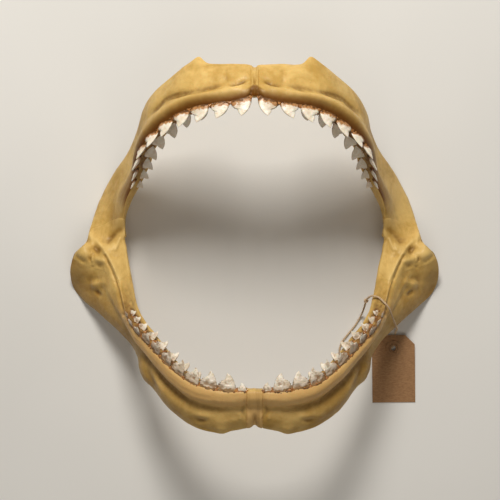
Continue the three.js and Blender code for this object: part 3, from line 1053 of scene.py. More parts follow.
@dataclass
class Arch:
    """A half arch of the left side as a loft on three rails, for pieces of both sides.

    lips and rims are its outer rails, beds how far the foot of the tooth bed lies below the lip
    and inwards of it. The other fields give its relief at four even steps from the middle line
    to the joint.
    """

    name: str
    sign: int  # +1 where the arch lies on the +Y side
    lips: Points
    rims: Points
    beds: Points
    roll: Numbers
    groove: Numbers
    face: Numbers
    rim: Numbers
    back: Numbers
    bed: Numbers
    band: float  # width of the ligament band on the middle line
    horns: Points = ()  # stations whose rim stands out of the plate, and how far
    folds: tuple[Fold, ...] = ()
    lip_stain: float = 0.5  # how dark the lip is beside its teeth: painted shade where it curves under, with some staining
    lip_flesh: float = 0.0  # how much of a pale flesh colour the lip roll has
    face_shade: float = 0.0  # how brown the face and the rim are, as painted shade where they look away from the light
    gum_depth: float = 11.2  # knot that the brown gum reaches down the bed from the lip
    notch: Numbers = (2.6, 2.4, 150.0)  # depth and half width of the notch in the rim, and where it starts
    slot: Numbers = (2.0, 141.0, 4.0)  # depth of the band's furrow, where along Y, and its half length
    softening: int = 14  # rounds that smooth the plain skin
    steps: int = 14  # points from one knot of a section to the next
    rings: int = 340
    seed: int = 1

    def rails(self, u: np.ndarray) -> dict[str, np.ndarray]:
        """The rails at some places, 0 at the middle line and 1 past the joint.

        Args:
            u: The places.

        Returns:
            Each rail's points, and the unit vectors along the lip and out of each side of the section.
        """
        lips = np.array(self.lips, float)
        top = spline(lips, u)
        along = unit(spline(lips, u + 1e-4) - spline(lips, u - 1e-4))
        along[u <= 0] = (1, 0, 0)
        inwards = unit(np.stack([along[:, 1], -along[:, 0], 0 * u], axis=-1)) * self.sign
        foot = top + inwards * keyed([b[1] for b in self.beds], u)[:, None]
        foot[:, 2] -= keyed([b[0] for b in self.beds], u)
        rims = np.array(self.rims, float)
        rim = spline(rims, u)
        for station, height in self.horns:
            rims[station, 1] -= height
        plate = spline(rims, u)

        def away(a: np.ndarray, b: np.ndarray, c: np.ndarray) -> np.ndarray:
            """The side of the line from a to b that looks away from c."""
            normal = unit(np.cross(b - a, along))
            return np.where(np.sum(normal * (c - a), axis=-1, keepdims=True) > 0, -normal, normal)

        return {"lip": top, "rim": rim, "plate": plate, "foot": foot, "along": along,
                "front": away(top, plate, foot), "rear": away(plate, foot, top),
                "mouth": away(foot, top, plate)}

    def sections(self, u: np.ndarray) -> np.ndarray:
        """The plain sections at some places.

        Args:
            u: The places.

        Returns:
            Points, as place, point round the section, coordinate.
        """
        r = self.rails(u)
        lip, plate, foot = r["lip"], r["plate"], r["foot"]
        horn = r["rim"] - plate
        size = {key: keyed(getattr(self, key), u)[:, None]
                for key in ("roll", "groove", "face", "rim", "back", "bed")}

        def at(a: np.ndarray, b: np.ndarray, t: float, way: str = "front", out: object = 0.0) -> np.ndarray:
            """A point between two rails, moved outwards."""
            return a + (b - a) * t + r[way] * out

        knots = [
            lip,
            at(lip, plate, 0.12, "front", size["roll"]),
            at(lip, plate, 0.28, "front", size["roll"] * 0.85),
            at(lip, plate, 0.42, "front", -size["groove"]),
            at(lip, plate, 0.66, "front", size["face"]),
            at(lip, plate, 0.93, "front", size["rim"] * 0.4) + horn * 0.6,
            plate + horn,
            at(plate, foot, 0.1, "rear", size["rim"]) + horn * 0.6,
            at(plate, foot, 0.5, "rear", size["back"]),
            at(plate, foot, 0.88, "rear", size["back"] * 0.6),
            foot,
            at(foot, lip, 0.35, "mouth", size["bed"]),
            at(foot, lip, 0.8, "mouth", size["bed"] * 0.7),
        ]
        return knotted(np.stack(knots, axis=1), self.steps, closed=True)

    def run(self) -> tuple[np.ndarray, np.ndarray]:
        """Fine places along the lip, and how far along it each is."""
        fine = np.linspace(0, 1, 4000)
        line = spline(np.array(self.lips, float), fine)
        return fine, np.concatenate([[0], np.cumsum(np.linalg.norm(np.diff(line, axis=0), axis=1))])

    def length(self) -> float:
        """Length of the lip."""
        return float(self.run()[1][-1])

    def places(self, count: int) -> np.ndarray:
        """Places at even lengths along the lip."""
        fine, run = self.run()
        return np.interp(np.linspace(0, run[-1], count), run, fine)

    def place_at(self, distance: np.ndarray) -> np.ndarray:
        """The places at some distances along the lip."""
        count = 2000
        return np.interp(distance / self.length(), np.linspace(0, 1, count), self.places(count))

    def bare(self, joint: "JointLine") -> tuple[np.ndarray, np.ndarray]:
        """The plain skin of the left half arch between the band and the joint.

        Args:
            joint: The line that it ends on.

        Returns:
            Its grid of points, and the place of each along the arch.
        """
        dense = self.places(900)
        skin = self.sections(dense)
        inner = self.band / 2 + 0.3
        begin = self._crossing(skin[..., 0] - inner, rising=True)
        end = self._crossing(joint.off(skin[..., 0], skin[..., 1], self.sign), rising=False)
        t = np.linspace(0, 1, self.rings)[:, None]
        rows = begin + (end - begin) * t
        low = np.clip(rows.astype(int), 0, len(dense) - 2)
        part = (rows - low)[..., None]
        columns = np.arange(skin.shape[1])[None, :]
        grid = skin[low, columns] * (1 - part) + skin[low + 1, columns] * part
        return grid, np.interp(rows, np.arange(len(dense)), dense)

    @staticmethod
    def _crossing(values: np.ndarray, rising: bool) -> np.ndarray:
        """Where each column first passes zero.

        Args:
            values: Values, as row, column.
            rising: Whether they pass it upwards.

        Returns:
            A row for each column, the last one where it doesn't pass.
        """
        passed = values > 0 if rising else values < 0
        row = np.argmax(passed, axis=0)
        none = ~passed.any(axis=0)
        before = np.maximum(row - 1, 0)
        columns = np.arange(values.shape[1])
        a, b = values[before, columns], values[row, columns]
        share = np.where(row > 0, a / (a - b + 1e-12), 0)
        return np.where(none, len(values) - 1, before + np.clip(share, 0, 1))

    def relief(self, grid: np.ndarray, normal: np.ndarray) -> np.ndarray:
        """How far the folds lift each point of a grid, on its upward side.

        Args:
            grid: Its points.
            normal: Their normals.

        Returns:
            One height for each point.
        """
        plan = np.stack([np.abs(grid[..., 0]), grid[..., 1]], axis=-1)
        lift = sum((fold.lift(plan) for fold in self.folds), np.zeros(plan.shape[:2]))
        return lift * ramp(-0.35, 0.15, normal[..., 2])

    def notched(self, grid: np.ndarray) -> np.ndarray:
        """A grid with the notch of the rim on the middle line.

        Args:
            grid: Its points.

        Returns:
            The points.
        """
        depth, width, start = self.notch
        share = np.exp(-(grid[..., 0] / width) ** 2) * ramp(start, start + 6, self.sign * grid[..., 1])
        grid = grid.copy()
        grid[..., 1] -= self.sign * depth * share
        return grid

    def carved(self, joint: "JointLine", side: Side) -> tuple[np.ndarray, dict[str, np.ndarray]]:
        """The skin with its folds and its lumps, on one side.

        Args:
            joint: The line that it ends on.
            side: Whose side.

        Returns:
            Its grid of points for the left side, and the values that the material reads.
        """
        grid, place = self.bare(joint)
        grid = smoothed(grid, self.softening)
        seed = self.seed + (20 if side is Side.RIGHT else 0)
        normal = outward_normals(grid)
        folded = self.relief(grid, normal)
        column = np.arange(grid.shape[1])[None, :] * np.ones_like(place)
        turn = column / grid.shape[1] * 2 * math.pi
        strand = np.stack([place * self.length() / 42, np.cos(turn) * 2.6, np.sin(turn) * 2.6], axis=-1)
        lumps = 0.4 * noise(strand, 1.0, seed, 2)
        lumps += 0.45 * noise(grid, 19.0, seed + 1) + 0.14 * noise(grid, 6.5, seed + 2, 2)
        from_start = np.arange(len(grid))[:, None]
        from_end = from_start[::-1]
        lift = folded + lumps * ramp(0, 12, from_start) * ramp(-2, 6, from_end)
        lift -= 0.15 * np.exp(-from_start / 0.8) + 0.9 * np.exp(-from_end / 2.5)
        grid = self.notched(grid + normal * lift[..., None])
        grid[..., 2] = np.maximum(grid[..., 2], FLOOR)
        # How hollow each point is: it drives painted shade in the hollows and a painted highlight on the
        # ridges.
        hollow = self.hollows(grid, folded)
        return grid, {"hollow": hollow, **self.stains(grid, place, column / self.steps, seed + 3)}

    @staticmethod
    def hollows(grid: np.ndarray, folded: np.ndarray) -> np.ndarray:
        """How hollow the carved skin is, from its close and its broad relief.

        Args:
            grid: Its points.
            folded: How far the folds lift each.

        Returns:
            One value for each point, 1 in a furrow and -1 on a ridge.
        """
        normal = outward_normals(grid)

        def sunk(rounds: int, depth: float) -> np.ndarray:
            """How far the skin lies under a smoother one, in shares of a depth."""
            return np.sum((smoothed(grid, rounds) - grid) * normal, axis=-1) / depth

        close, broad = sunk(8, 0.16), sunk(60, 1.3)
        from_start = np.arange(len(grid))[:, None]
        shade = smoothed(close * 0.35 + broad * 0.8, 8) * ramp(0, 10, from_start)
        return np.clip(shade - folded / 5, -1, 1)

    def stains(self, grid: np.ndarray, place: np.ndarray, knot: np.ndarray,
               seed: int) -> dict[str, np.ndarray]:
        """Where the carved skin is tinted brown by painted shade and staining, gummed, or of the colour of
        flesh.

        The knots of a section count from the lip, 0, over its roll and its groove, 3, the face, 4,
        and the rim, 6, to the foot of the tooth bed, 10.

        Args:
            grid: Its points.
            place: The place of each along the arch.
            knot: The knot of its section that each is at.
            seed: Picks how ragged the edges of the brown tints are.

        Returns:
            The values that the material reads.
        """
        ragged = 0.75 + 0.25 * noise(grid, 3.0, seed, 2)
        gum = ramp(self.gum_depth - 1.3, self.gum_depth, knot) * ragged * ramp(0.88, 0.64, place)
        # Painted shade on the inner side of the arch towards the joint.
        rear = ramp(0.62, 0.8, place) * ramp(3.2, 1.0, knot) * 0.7
        before_joint = 1 - 0.8 * ramp(0.82, 0.9, place)
        # Painted shade along the lip and in the hollow on the middle line, with some staining.
        stain = np.maximum(self.wedge(grid, knot), rear)
        stain = stain * self.lip_stain * (0.9 + 0.1 * ragged) * before_joint
        # Painted shade on the face and the rim that look away from the light, on the wing's lower rim and on
        # its outermost edge.
        upper_face = ramp(6.0, 4.4, knot) * (0.55 + 0.45 * ramp(0.15, 0.3, place))
        low_rim = ramp(9.0, 7.5, knot) * ramp(0.36, 0.5, place)
        below_lip = ramp(2.6, 4.4, knot) * np.maximum(upper_face, low_rim)
        outermost = 0.9 * ramp(150, 168, grid[..., 0])
        below_lip = np.maximum(below_lip, outermost)
        stain = np.maximum(stain, self.face_shade * below_lip * (0.85 + 0.15 * ragged))
        lip = ramp(4.2, 1.5, knot) * ramp(0.80, 0.66, place) * self.lip_flesh
        return {"gum": np.clip(gum, 0, 1), "stain": np.clip(stain, 0, 1), "lip": lip}

    @staticmethod
    def wedge(grid: np.ndarray, knot: np.ndarray) -> np.ndarray:
        """Painted shade with some staining along the lip, where it curves under towards the teeth, and a
        wedge of painted shadow on the middle line, where the two lip rolls meet.

        Args:
            grid: Points of the skin.
            knot: The knot of its section that each is at.

        Returns:
            How dark each point is painted, 0 to 1.
        """
        wide = 1.0 + 15.0 * ramp(2.5, 0.5, knot)
        middle = ramp(1.0, 0.2, np.abs(grid[..., 0]) / wide) * ramp(2.5, 1.6, knot)
        return np.maximum(ramp(1.7, 0.3, knot), 0.85 * middle)

    def settled(self, grid: np.ndarray, drape: "Drape") -> np.ndarray:
        """A grid drawn to the ligament round its joint, and tucked under it where it is covered.

        Args:
            grid: Its points.
            drape: What lies over the joint.

        Returns:
            The points.
        """
        facing = ramp(0.1, 0.45, outward_normals(grid)[..., 2])
        inside, height, cover = (drape.at(grid[..., :2], values)
                                 for values in (drape.inside, drape.height, drape.cover))
        near = ramp(*FEATHER, inside) * facing
        under = ramp(2.2, 4.4, inside) * facing * ramp(0.5, 0.64, cover)
        grid = grid.copy()
        grid[..., 2] += np.clip(height - grid[..., 2], -9, 3) * near - 2.6 * under
        grid[..., 2] = np.maximum(grid[..., 2], FLOOR)
        return grid

    def build_band(self, finishes: Finishes) -> None:
        """Makes the ligament band on the middle line, with its fibres and its furrow.

        Args:
            finishes: The materials.
        """
        half = self.band / 2
        sunk = half + 1.7  # where it ends, under the half arches
        x = np.linspace(-sunk, sunk, 61)
        fine = np.linspace(0, 0.2, 400)
        grid = self.sections(np.interp(np.abs(x), spline(np.array(self.lips, float), fine)[:, 0], fine))
        grid[..., 0] = x[:, None]
        grid = smoothed(grid, self.softening)
        grid[..., 0] = x[:, None]
        normal = outward_normals(grid)
        normal[..., 0] = 0
        folded = self.relief(grid, outward_normals(grid))
        fibres = np.stack([grid[..., 0] * 0.6, grid[..., 1] * 0.03, grid[..., 2] * 0.03], axis=-1)
        strands = noise(fibres, 1.0, self.seed + 5, 2)
        depth, at, length = self.slot
        slot = depth * np.exp(-((grid[..., 1] - at) / length) ** 2 - (grid[..., 0] / 0.9) ** 2)
        border = np.abs(grid[..., 0]) + 0.6 * noise(grid, 3.0, self.seed + 6)
        within = ramp(half + 0.6, half - 0.6, np.abs(grid[..., 0]))
        lift = 0.25 + 0.25 * strands * within - slot * ramp(0.0, 0.4, normal[..., 2])
        lift -= ramp(half - 0.2, sunk, border)
        grid = self.notched(grid + normal * (folded + lift)[..., None])
        # Painted shade in the band's hollows, its furrow and between its strands, and a painted highlight on
        # its ridges.
        hollow = np.clip(-folded / 4 - 0.45 * strands * within + 0.5 * slot, -0.7, 1)
        knot = np.arange(grid.shape[1])[None, :] / self.steps * np.ones_like(hollow)
        # Painted shade with some staining along the band's lip and in its middle hollow.
        values = {"hollow": hollow, "stain": self.wedge(grid, knot) * self.lip_stain,
                  "lip": 0.8 * ramp(7.0, 5.0, knot) * self.lip_flesh}
        node = f"{self.name}_symphysis"
        shell = tube_shell(grid, values)
        shell.piece(f"{node}_ligament", Slot.LIGAMENT, finishes.ligament, (node,))


@dataclass(frozen=True)
class JointLine:
    """The line between the upper and the lower jaw as seen from above, on the left side."""

    points: Points = ((108, 11), (122, 7.5), (135, 0), (142, -5), (150, -4), (158, 1), (167, -6), (175, -12))
    overlap: float = 1.6  # how far the two jaws reach into each other under the ligament

    def off(self, x: np.ndarray, y: np.ndarray, sign: int) -> np.ndarray:
        """How far points are on the side of an arch, short of the line."""
        line = np.array(self.points, float)
        return sign * (y - np.interp(x, line[:, 0], line[:, 1])) + self.overlap


def blurred(values: np.ndarray, rounds: int) -> np.ndarray:
    """A flat grid of values averaged with its neighbours.

    Args:
        values: The values.
        rounds: How many times.

    Returns:
        The smoother values.
    """
    for _ in range(rounds):
        wide = np.pad(values, 1, mode="edge")
        sides = wide[:-2, 1:-1] + wide[2:, 1:-1] + wide[1:-1, :-2] + wide[1:-1, 2:]
        values = values * 0.4 + sides * 0.15
    return values


@dataclass
class Drape:
    """What lies over a joint, on an even grid seen from above.

    height is the ligament's, inside how far each point is inside its outline, and cover how much
    solid there is round it.
    """

    low: Pair
    step: float
    plan: np.ndarray
    height: np.ndarray
    inside: np.ndarray
    cover: np.ndarray

    def at(self, plan: np.ndarray, values: np.ndarray) -> np.ndarray:
        """Reads some values of the grid at any points.

        Args:
            plan: Points as seen from above.
            values: One value for each point of the grid.

        Returns:
            One value for each of the points, the border's where they lie outside the grid.
        """
        place = (plan - self.low) / self.step
        place = np.clip(place, 0, np.array(values.shape) - 1.001)
        cell = place.astype(int)
        t = place - cell
        i, j = cell[..., 0], cell[..., 1]
        s, t = t[..., 0], t[..., 1]
        near = values[i, j] * (1 - s) + values[i + 1, j] * s
        far = values[i, j + 1] * (1 - s) + values[i + 1, j + 1] * s
        return near * (1 - t) + far * t

    def held_under(self, points: np.ndarray) -> np.ndarray:
        """Points of a jaw, pushed down where they would stand through the ligament.

        Args:
            points: The points.

        Returns:
            The points.
        """
        height, inside, cover = (self.at(points[..., :2], values)
                                 for values in (self.height, self.inside, self.cover))
        deep = ramp(1.0, 3.5, inside) * ramp(0.47, 0.62, cover)
        cap = np.maximum(height - 1.6 + 8 * (1 - deep), FLOOR)
        points = points.copy()
        points[..., 2] = np.where(deep > 0, np.minimum(points[..., 2], cap), points[..., 2])
        return points


@dataclass
class JointCapsule:
    """The dried ligament that lies over a joint and binds the two jaws, on the left side."""

    low: Pair = (96.0, -62.0)
    high: Pair = (180.0, 44.0)
    step: float = 0.55
    outline: Points = ((122, 26), (133, 25), (144, 20), (157, 16), (167, 6), (174, -10), (166, -19),
                       (153, -24), (141, -27), (130, -36), (117, -30), (112, -10), (113, 14))
    blur: int = 60  # rounds that spread the jaws' tops over the gaps between them
    cover: float = 0.45  # how much solid there has to be round each of its points
    lift: float = 0.2  # how far it lies over the jaws
    thickness: float = 2.0
    pad: Pair = (159.5, -1.0)  # where it is thick and fills the notch between the two jaws
    pad_thickness: float = 11.0
    lowest: float = 16.5  # of its underside, where it is thick
    folds: tuple[Fold, ...] = ()

    def inside(self, plan: np.ndarray) -> np.ndarray:
        """How far points lie inside the outline, below zero outside it.

        Args:
            plan: Points as seen from above.

        Returns:
            One distance for each point.
        """
        corners = knotted(np.array(self.outline, float)[None], 6, closed=True)[0]
        ahead = np.roll(corners, -1, axis=0)
        nearest = np.full(plan.shape[:-1], FAR)
        crossings = np.zeros(plan.shape[:-1], int)
        for a, b in zip(corners, ahead):
            t = np.clip(((plan - a) @ (b - a)) / np.dot(b - a, b - a), 0, 1)
            nearest = np.minimum(nearest, np.linalg.norm(plan - a - t[..., None] * (b - a), axis=-1))
            spans = (a[1] > plan[..., 1]) != (b[1] > plan[..., 1])
            at = a[0] + (plan[..., 1] - a[1]) / (b[1] - a[1] + 1e-9) * (b[0] - a[0])
            crossings += spans & (plan[..., 0] < at)
        return np.where(crossings % 2 == 1, nearest, -nearest)

    def drape(self, jaws: list[Shell], seed: int) -> Drape:
        """Lays the ligament on both jaws.

        Args:
            jaws: The half arches, as on the left side.
            seed: Picks its lumps.

        Returns:
            Where it lies, as on the left side.
        """
        x = np.arange(self.low[0], self.high[0], self.step)
        y = np.arange(self.low[1], self.high[1], self.step)
        plan = np.stack(np.meshgrid(x, y, indexing="ij"), axis=-1)
        tops = np.full(plan.shape[:2], -FAR)
        above = 300.0  # over both jaws
        for jaw in jaws:
            polygons = [polygon for faces in jaw.faces for polygon in faces.tolist()]
            tree = BVHTree.FromPolygons(jaw.points.tolist(), polygons)
            for i, j in np.ndindex(*tops.shape):
                hit = tree.ray_cast(Vector((*plan[i, j], above)), Vector((0, 0, -1)))[0]
                if hit is not None:
                    tops[i, j] = max(tops[i, j], hit.z)
        solid = tops > -FAR
        cover = blurred(solid.astype(float), self.blur)
        soft = blurred(np.where(solid, tops, 0), self.blur) / np.maximum(cover, 0.05)
        near = blurred(np.where(solid, tops, 0), 8) / np.maximum(blurred(solid.astype(float), 8), 0.05)
        top = np.where(solid, near, soft)
        height = top + (soft - top) * ramp(self.cover, 0.75, cover)
        lift = sum((fold.lift(plan) for fold in self.folds), np.zeros_like(top))
        spots = np.concatenate([plan, np.zeros_like(plan[..., :1])], axis=-1)
        lift += 0.3 * noise(spots, 9.0, seed) + 0.1 * noise(spots, 3.0, seed + 1, 2)
        inside = self.inside(plan)
        height = height + blurred(lift, 2) * ramp(*FEATHER, inside)
        return Drape(self.low, self.step, plan, height, inside, cover)

    def shell(self, drape: Drape) -> Shell:
        """The ligament as a closed skin, as on the left side.

        Args:
            drape: Where it lies.

        Returns:
            The shell.
        """
        edge = ramp(0.4, 2.2, drape.inside) * ramp(self.cover, 0.58, drape.cover)
        height = drape.height + self.lift - 1.6 * (1 - edge)
        points = np.concatenate([drape.plan, height[..., None]], axis=-1)
        thick = self.pad_thickness * np.exp(-np.sum((drape.plan - self.pad) ** 2, axis=-1) / 34.0)
        thick += self.thickness
        below = np.minimum(height - self.thickness, np.maximum(height - thick, self.lowest))
        under = np.concatenate([drape.plan, below[..., None]], axis=-1)
        # How hollow the ligament is, for painted shade in its hollows and a painted highlight on its ridges.
        close = (blurred(drape.height, 20) - drape.height) / 0.7
        broad = (blurred(drape.height, 200) - drape.height) / 2.6
        hollow = np.clip(0.45 * close + 0.85 * broad - 0.1, -1, 1)
        keep = (drape.inside > 0.2) & (drape.cover > self.cover)
        cells = keep[:-1, :-1] & keep[1:, :-1] & keep[:-1, 1:] & keep[1:, 1:]
        index = np.arange(keep.size).reshape(keep.shape)
        i, j = np.nonzero(cells)
        quads = np.stack([index[i, j], index[i + 1, j], index[i + 1, j + 1], index[i, j + 1]], axis=-1)
        count = keep.size
        sides = set()
        for quad in quads.tolist():
            for a, b in zip(quad, quad[1:] + quad[:1]):
                if (b, a) in sides:
                    sides.remove((b, a))
                else:
                    sides.add((a, b))
        walls = np.array([(b, a, a + count, b + count) for a, b in sorted(sides)])
        border, follower = np.array(sorted(sides)).T
        flat, low = points.reshape(-1, 3), under.reshape(-1, 3)
        for _ in range(14):
            for layer in (flat, low):
                middle = (layer[border] + layer[follower]) / 2
                layer[border] = middle
                layer[follower] = layer[follower] * 0.5 + middle * 0.5
        faces = np.vstack([quads, quads[:, ::-1] + count, walls])
        used, packed = np.unique(faces, return_inverse=True)
        both = np.vstack([flat, low])[used]
        values = np.concatenate([hollow.ravel(), hollow.ravel()])[used]
        return Shell(both, [packed.reshape(-1, 4)], {"hollow": values}).outward()


def build_jaws(joint: JointLine, capsule: JointCapsule, finishes: Finishes) -> None:
    """Makes the half arches of both sides, the ligaments over their joints and the bands.

    Args:
        joint: The line between the two jaws.
        capsule: The ligament over it.
        finishes: The materials.
    """
    for side in Side:
        skins = [(arch, *arch.carved(joint, side)) for arch in (UPPER, LOWER)]
        drape = capsule.drape([tube_shell(grid) for _, grid, _ in skins], 70 + side.value)
        for arch, grid, values in skins:
            node = f"{arch.name}_jaw_{side.label}"
            shell = tube_shell(arch.settled(grid, drape), values)
            shell.points = drape.held_under(shell.points)
            shell.points[-1, 2] -= 5.0  # the middle of the jaw's end, well under the ligament
            shell.mirrored(side).piece(f"{node}_cartilage", Slot.CARTILAGE, finishes.cartilage, (node,))
        ligament = capsule.shell(drape).mirrored(side)
        node = f"joint_strap_{side.label}"
        ligament.piece(f"joint_ligament_{side.label}", Slot.LIGAMENT, finishes.ligament, (node,))
    for arch in (UPPER, LOWER):
        arch.build_band(finishes)


# ---- teeth ------------------------------------------------------------------------------


@dataclass(frozen=True)
class Crown:
    """Outline of a tooth in widths, from the sunk root to the tip, and its thickness.

    near is the edge towards the middle line, far the one with the notch and the heel.
    """

    near: Points
    far: Points
    thickness: Numbers = (0.22, 0.24, 0.22, 0.17, 0.11, 0.05)
    levels: int = 66
    columns: int = 9
    serration: float = 0.011  # depth of its fine serration
    cusplet: float = 0.03  # depth of the coarse one on its heel
    lumps: float = 0.018
    gummed: float = 0.15  # how much of its root dried gum covers
    dent_shade: float = 0.25  # how brown the dimples in its surface are, as painted shade

    def zigzag(self, period: float) -> np.ndarray:
        """A zigzag between -0.5 and 0.5 up an edge, with its period in levels."""
        return np.abs(((np.arange(self.levels) / period) % 1) * 2 - 1) - 0.5

    def shell(self, base: np.ndarray, along: np.ndarray, up: np.ndarray, face: np.ndarray, width: float,
              old: float, seed: int) -> Shell:
        """One tooth.

        Args:
            base: The point where its near corner meets the gum.
            along: Unit vector along the jaw, away from the middle line.
            up: Unit vector towards the tip.
            face: Unit vector out of its outer face.
            width: Its width.
            old: How brown it is, 0 to 1, from age and as painted shade.
            seed: Picks its own small differences.

        Returns:
            The shell.
        """
        rng = np.random.default_rng(seed)
        t = np.linspace(0, 1, self.levels)
        edges = []
        for points, way in ((self.near, -1), (self.far, 1)):
            line = spline(np.array(points, float), t)
            tangent = unit(np.gradient(line, axis=0))
            out = np.stack([tangent[:, 1], -tangent[:, 0]], axis=-1) * way
            bite = self.serration * self.zigzag(3.0) * ramp(0.16, 0.24, t) * ramp(1.0, 0.96, t)
            if way > 0:
                bite = bite + self.cusplet * self.zigzag(6.0) * ramp(0.2, 0.26, t) * ramp(0.7, 0.62, t)
            edges.append(line + out * bite[:, None])
        near, far = edges
        c = np.linspace(0, 1, self.columns + 2)
        thick = keyed(self.thickness, t)[:, None]
        flat = near[:, None] * (1 - c)[None, :, None] + far[:, None] * c[None, :, None]
        bulge = 1 - np.abs(2 * c - 1) ** 2.2
        outer = 0.36 * thick * bulge[None]
        inner = -0.64 * thick * (1 - np.abs(2 * c - 1) ** 1.7)[None]
        sheets = np.concatenate([
            np.concatenate([flat, outer[..., None]], axis=-1),
            np.concatenate([flat, inner[..., None]], axis=-1)[:, -2:0:-1],
        ], axis=1)
        sheets[..., 2] -= 0.05 * np.clip(sheets[..., 1], 0, 1) ** 2
        knobs = noise(sheets * 10 + seed * 3.7, 1.8, 90, 3) * ramp(1.0, 0.3, sheets[..., 1])
        # Dimples in the surface are painted darker, as shade.
        dent_shaded = np.clip(-1.6 * knobs, 0, 1) * ramp(0.8, 0.35, sheets[..., 1]) * self.dent_shade
        sheets[..., 2] += knobs * self.lumps
        tilt = math.radians(rng.uniform(-3.5, 3.5))
        x = sheets[..., 0] * math.cos(tilt) - sheets[..., 1] * math.sin(tilt)
        y = sheets[..., 0] * math.sin(tilt) + sheets[..., 1] * math.cos(tilt)
        points = base + width * (x[..., None] * along + y[..., None] * up + sheets[..., 2:] * face)
        values = {"crown": sheets[..., 1], "old": np.clip(old + dent_shaded, 0, 1),
                  "gummed": np.full(sheets.shape[:2], self.gummed)}
        return tube_shell(points, values)


UPPER_CROWN = Crown(
    near=((0.03, -0.3), (0.0, -0.02), (0.02, 0.14), (0.09, 0.35), (0.22, 0.55), (0.38, 0.69), (0.54, 0.78),
          (0.66, 0.81)),
    far=((0.97, -0.3), (1.0, -0.02), (1.01, 0.10), (0.96, 0.24), (0.88, 0.35), (0.77, 0.43), (0.74, 0.62),
         (0.66, 0.81)),
    gummed=1.0,
)
LOWER_CROWN = Crown(
    near=((0.05, -0.3), (0.0, -0.02), (0.01, 0.16), (0.07, 0.38), (0.17, 0.59), (0.29, 0.77), (0.42, 0.89),
          (0.57, 0.96)),
    far=((0.95, -0.3), (1.0, -0.02), (1.03, 0.14), (1.0, 0.32), (0.90, 0.47), (0.76, 0.57), (0.66, 0.64),
         (0.57, 0.96)),
    cusplet=0.05, lumps=0.042, dent_shade=0.6,
)


@dataclass(frozen=True)
class ToothRow:
    """One row of a half arch's teeth. Each pair goes from the middle line to the row's far end.

    down is where it is rooted on the tooth bed, 0 at the lip and 1 at its foot, lean how many
    degrees it leans into the mouth, turn how many degrees its faces are turned up out of the
    gape, rake how many degrees its tips point towards the joint, size its teeth's size against
    the widths, root how much of their height is bare root and old how brown they are, from
    age and as painted shade on teeth that lie in shadow.
    """

    down: Pair = (0.04, 0.04)
    lean: Pair = (12, 12)
    turn: Pair = (0, 0)
    rake: Pair = (0, 0)
    size: Pair = (1.0, 1.0)
    root: Pair = (0.1, 0.1)
    old: Pair = (0.0, 0.0)
    gum_height: float = 0.7
    gum_thickness: float = 0.45


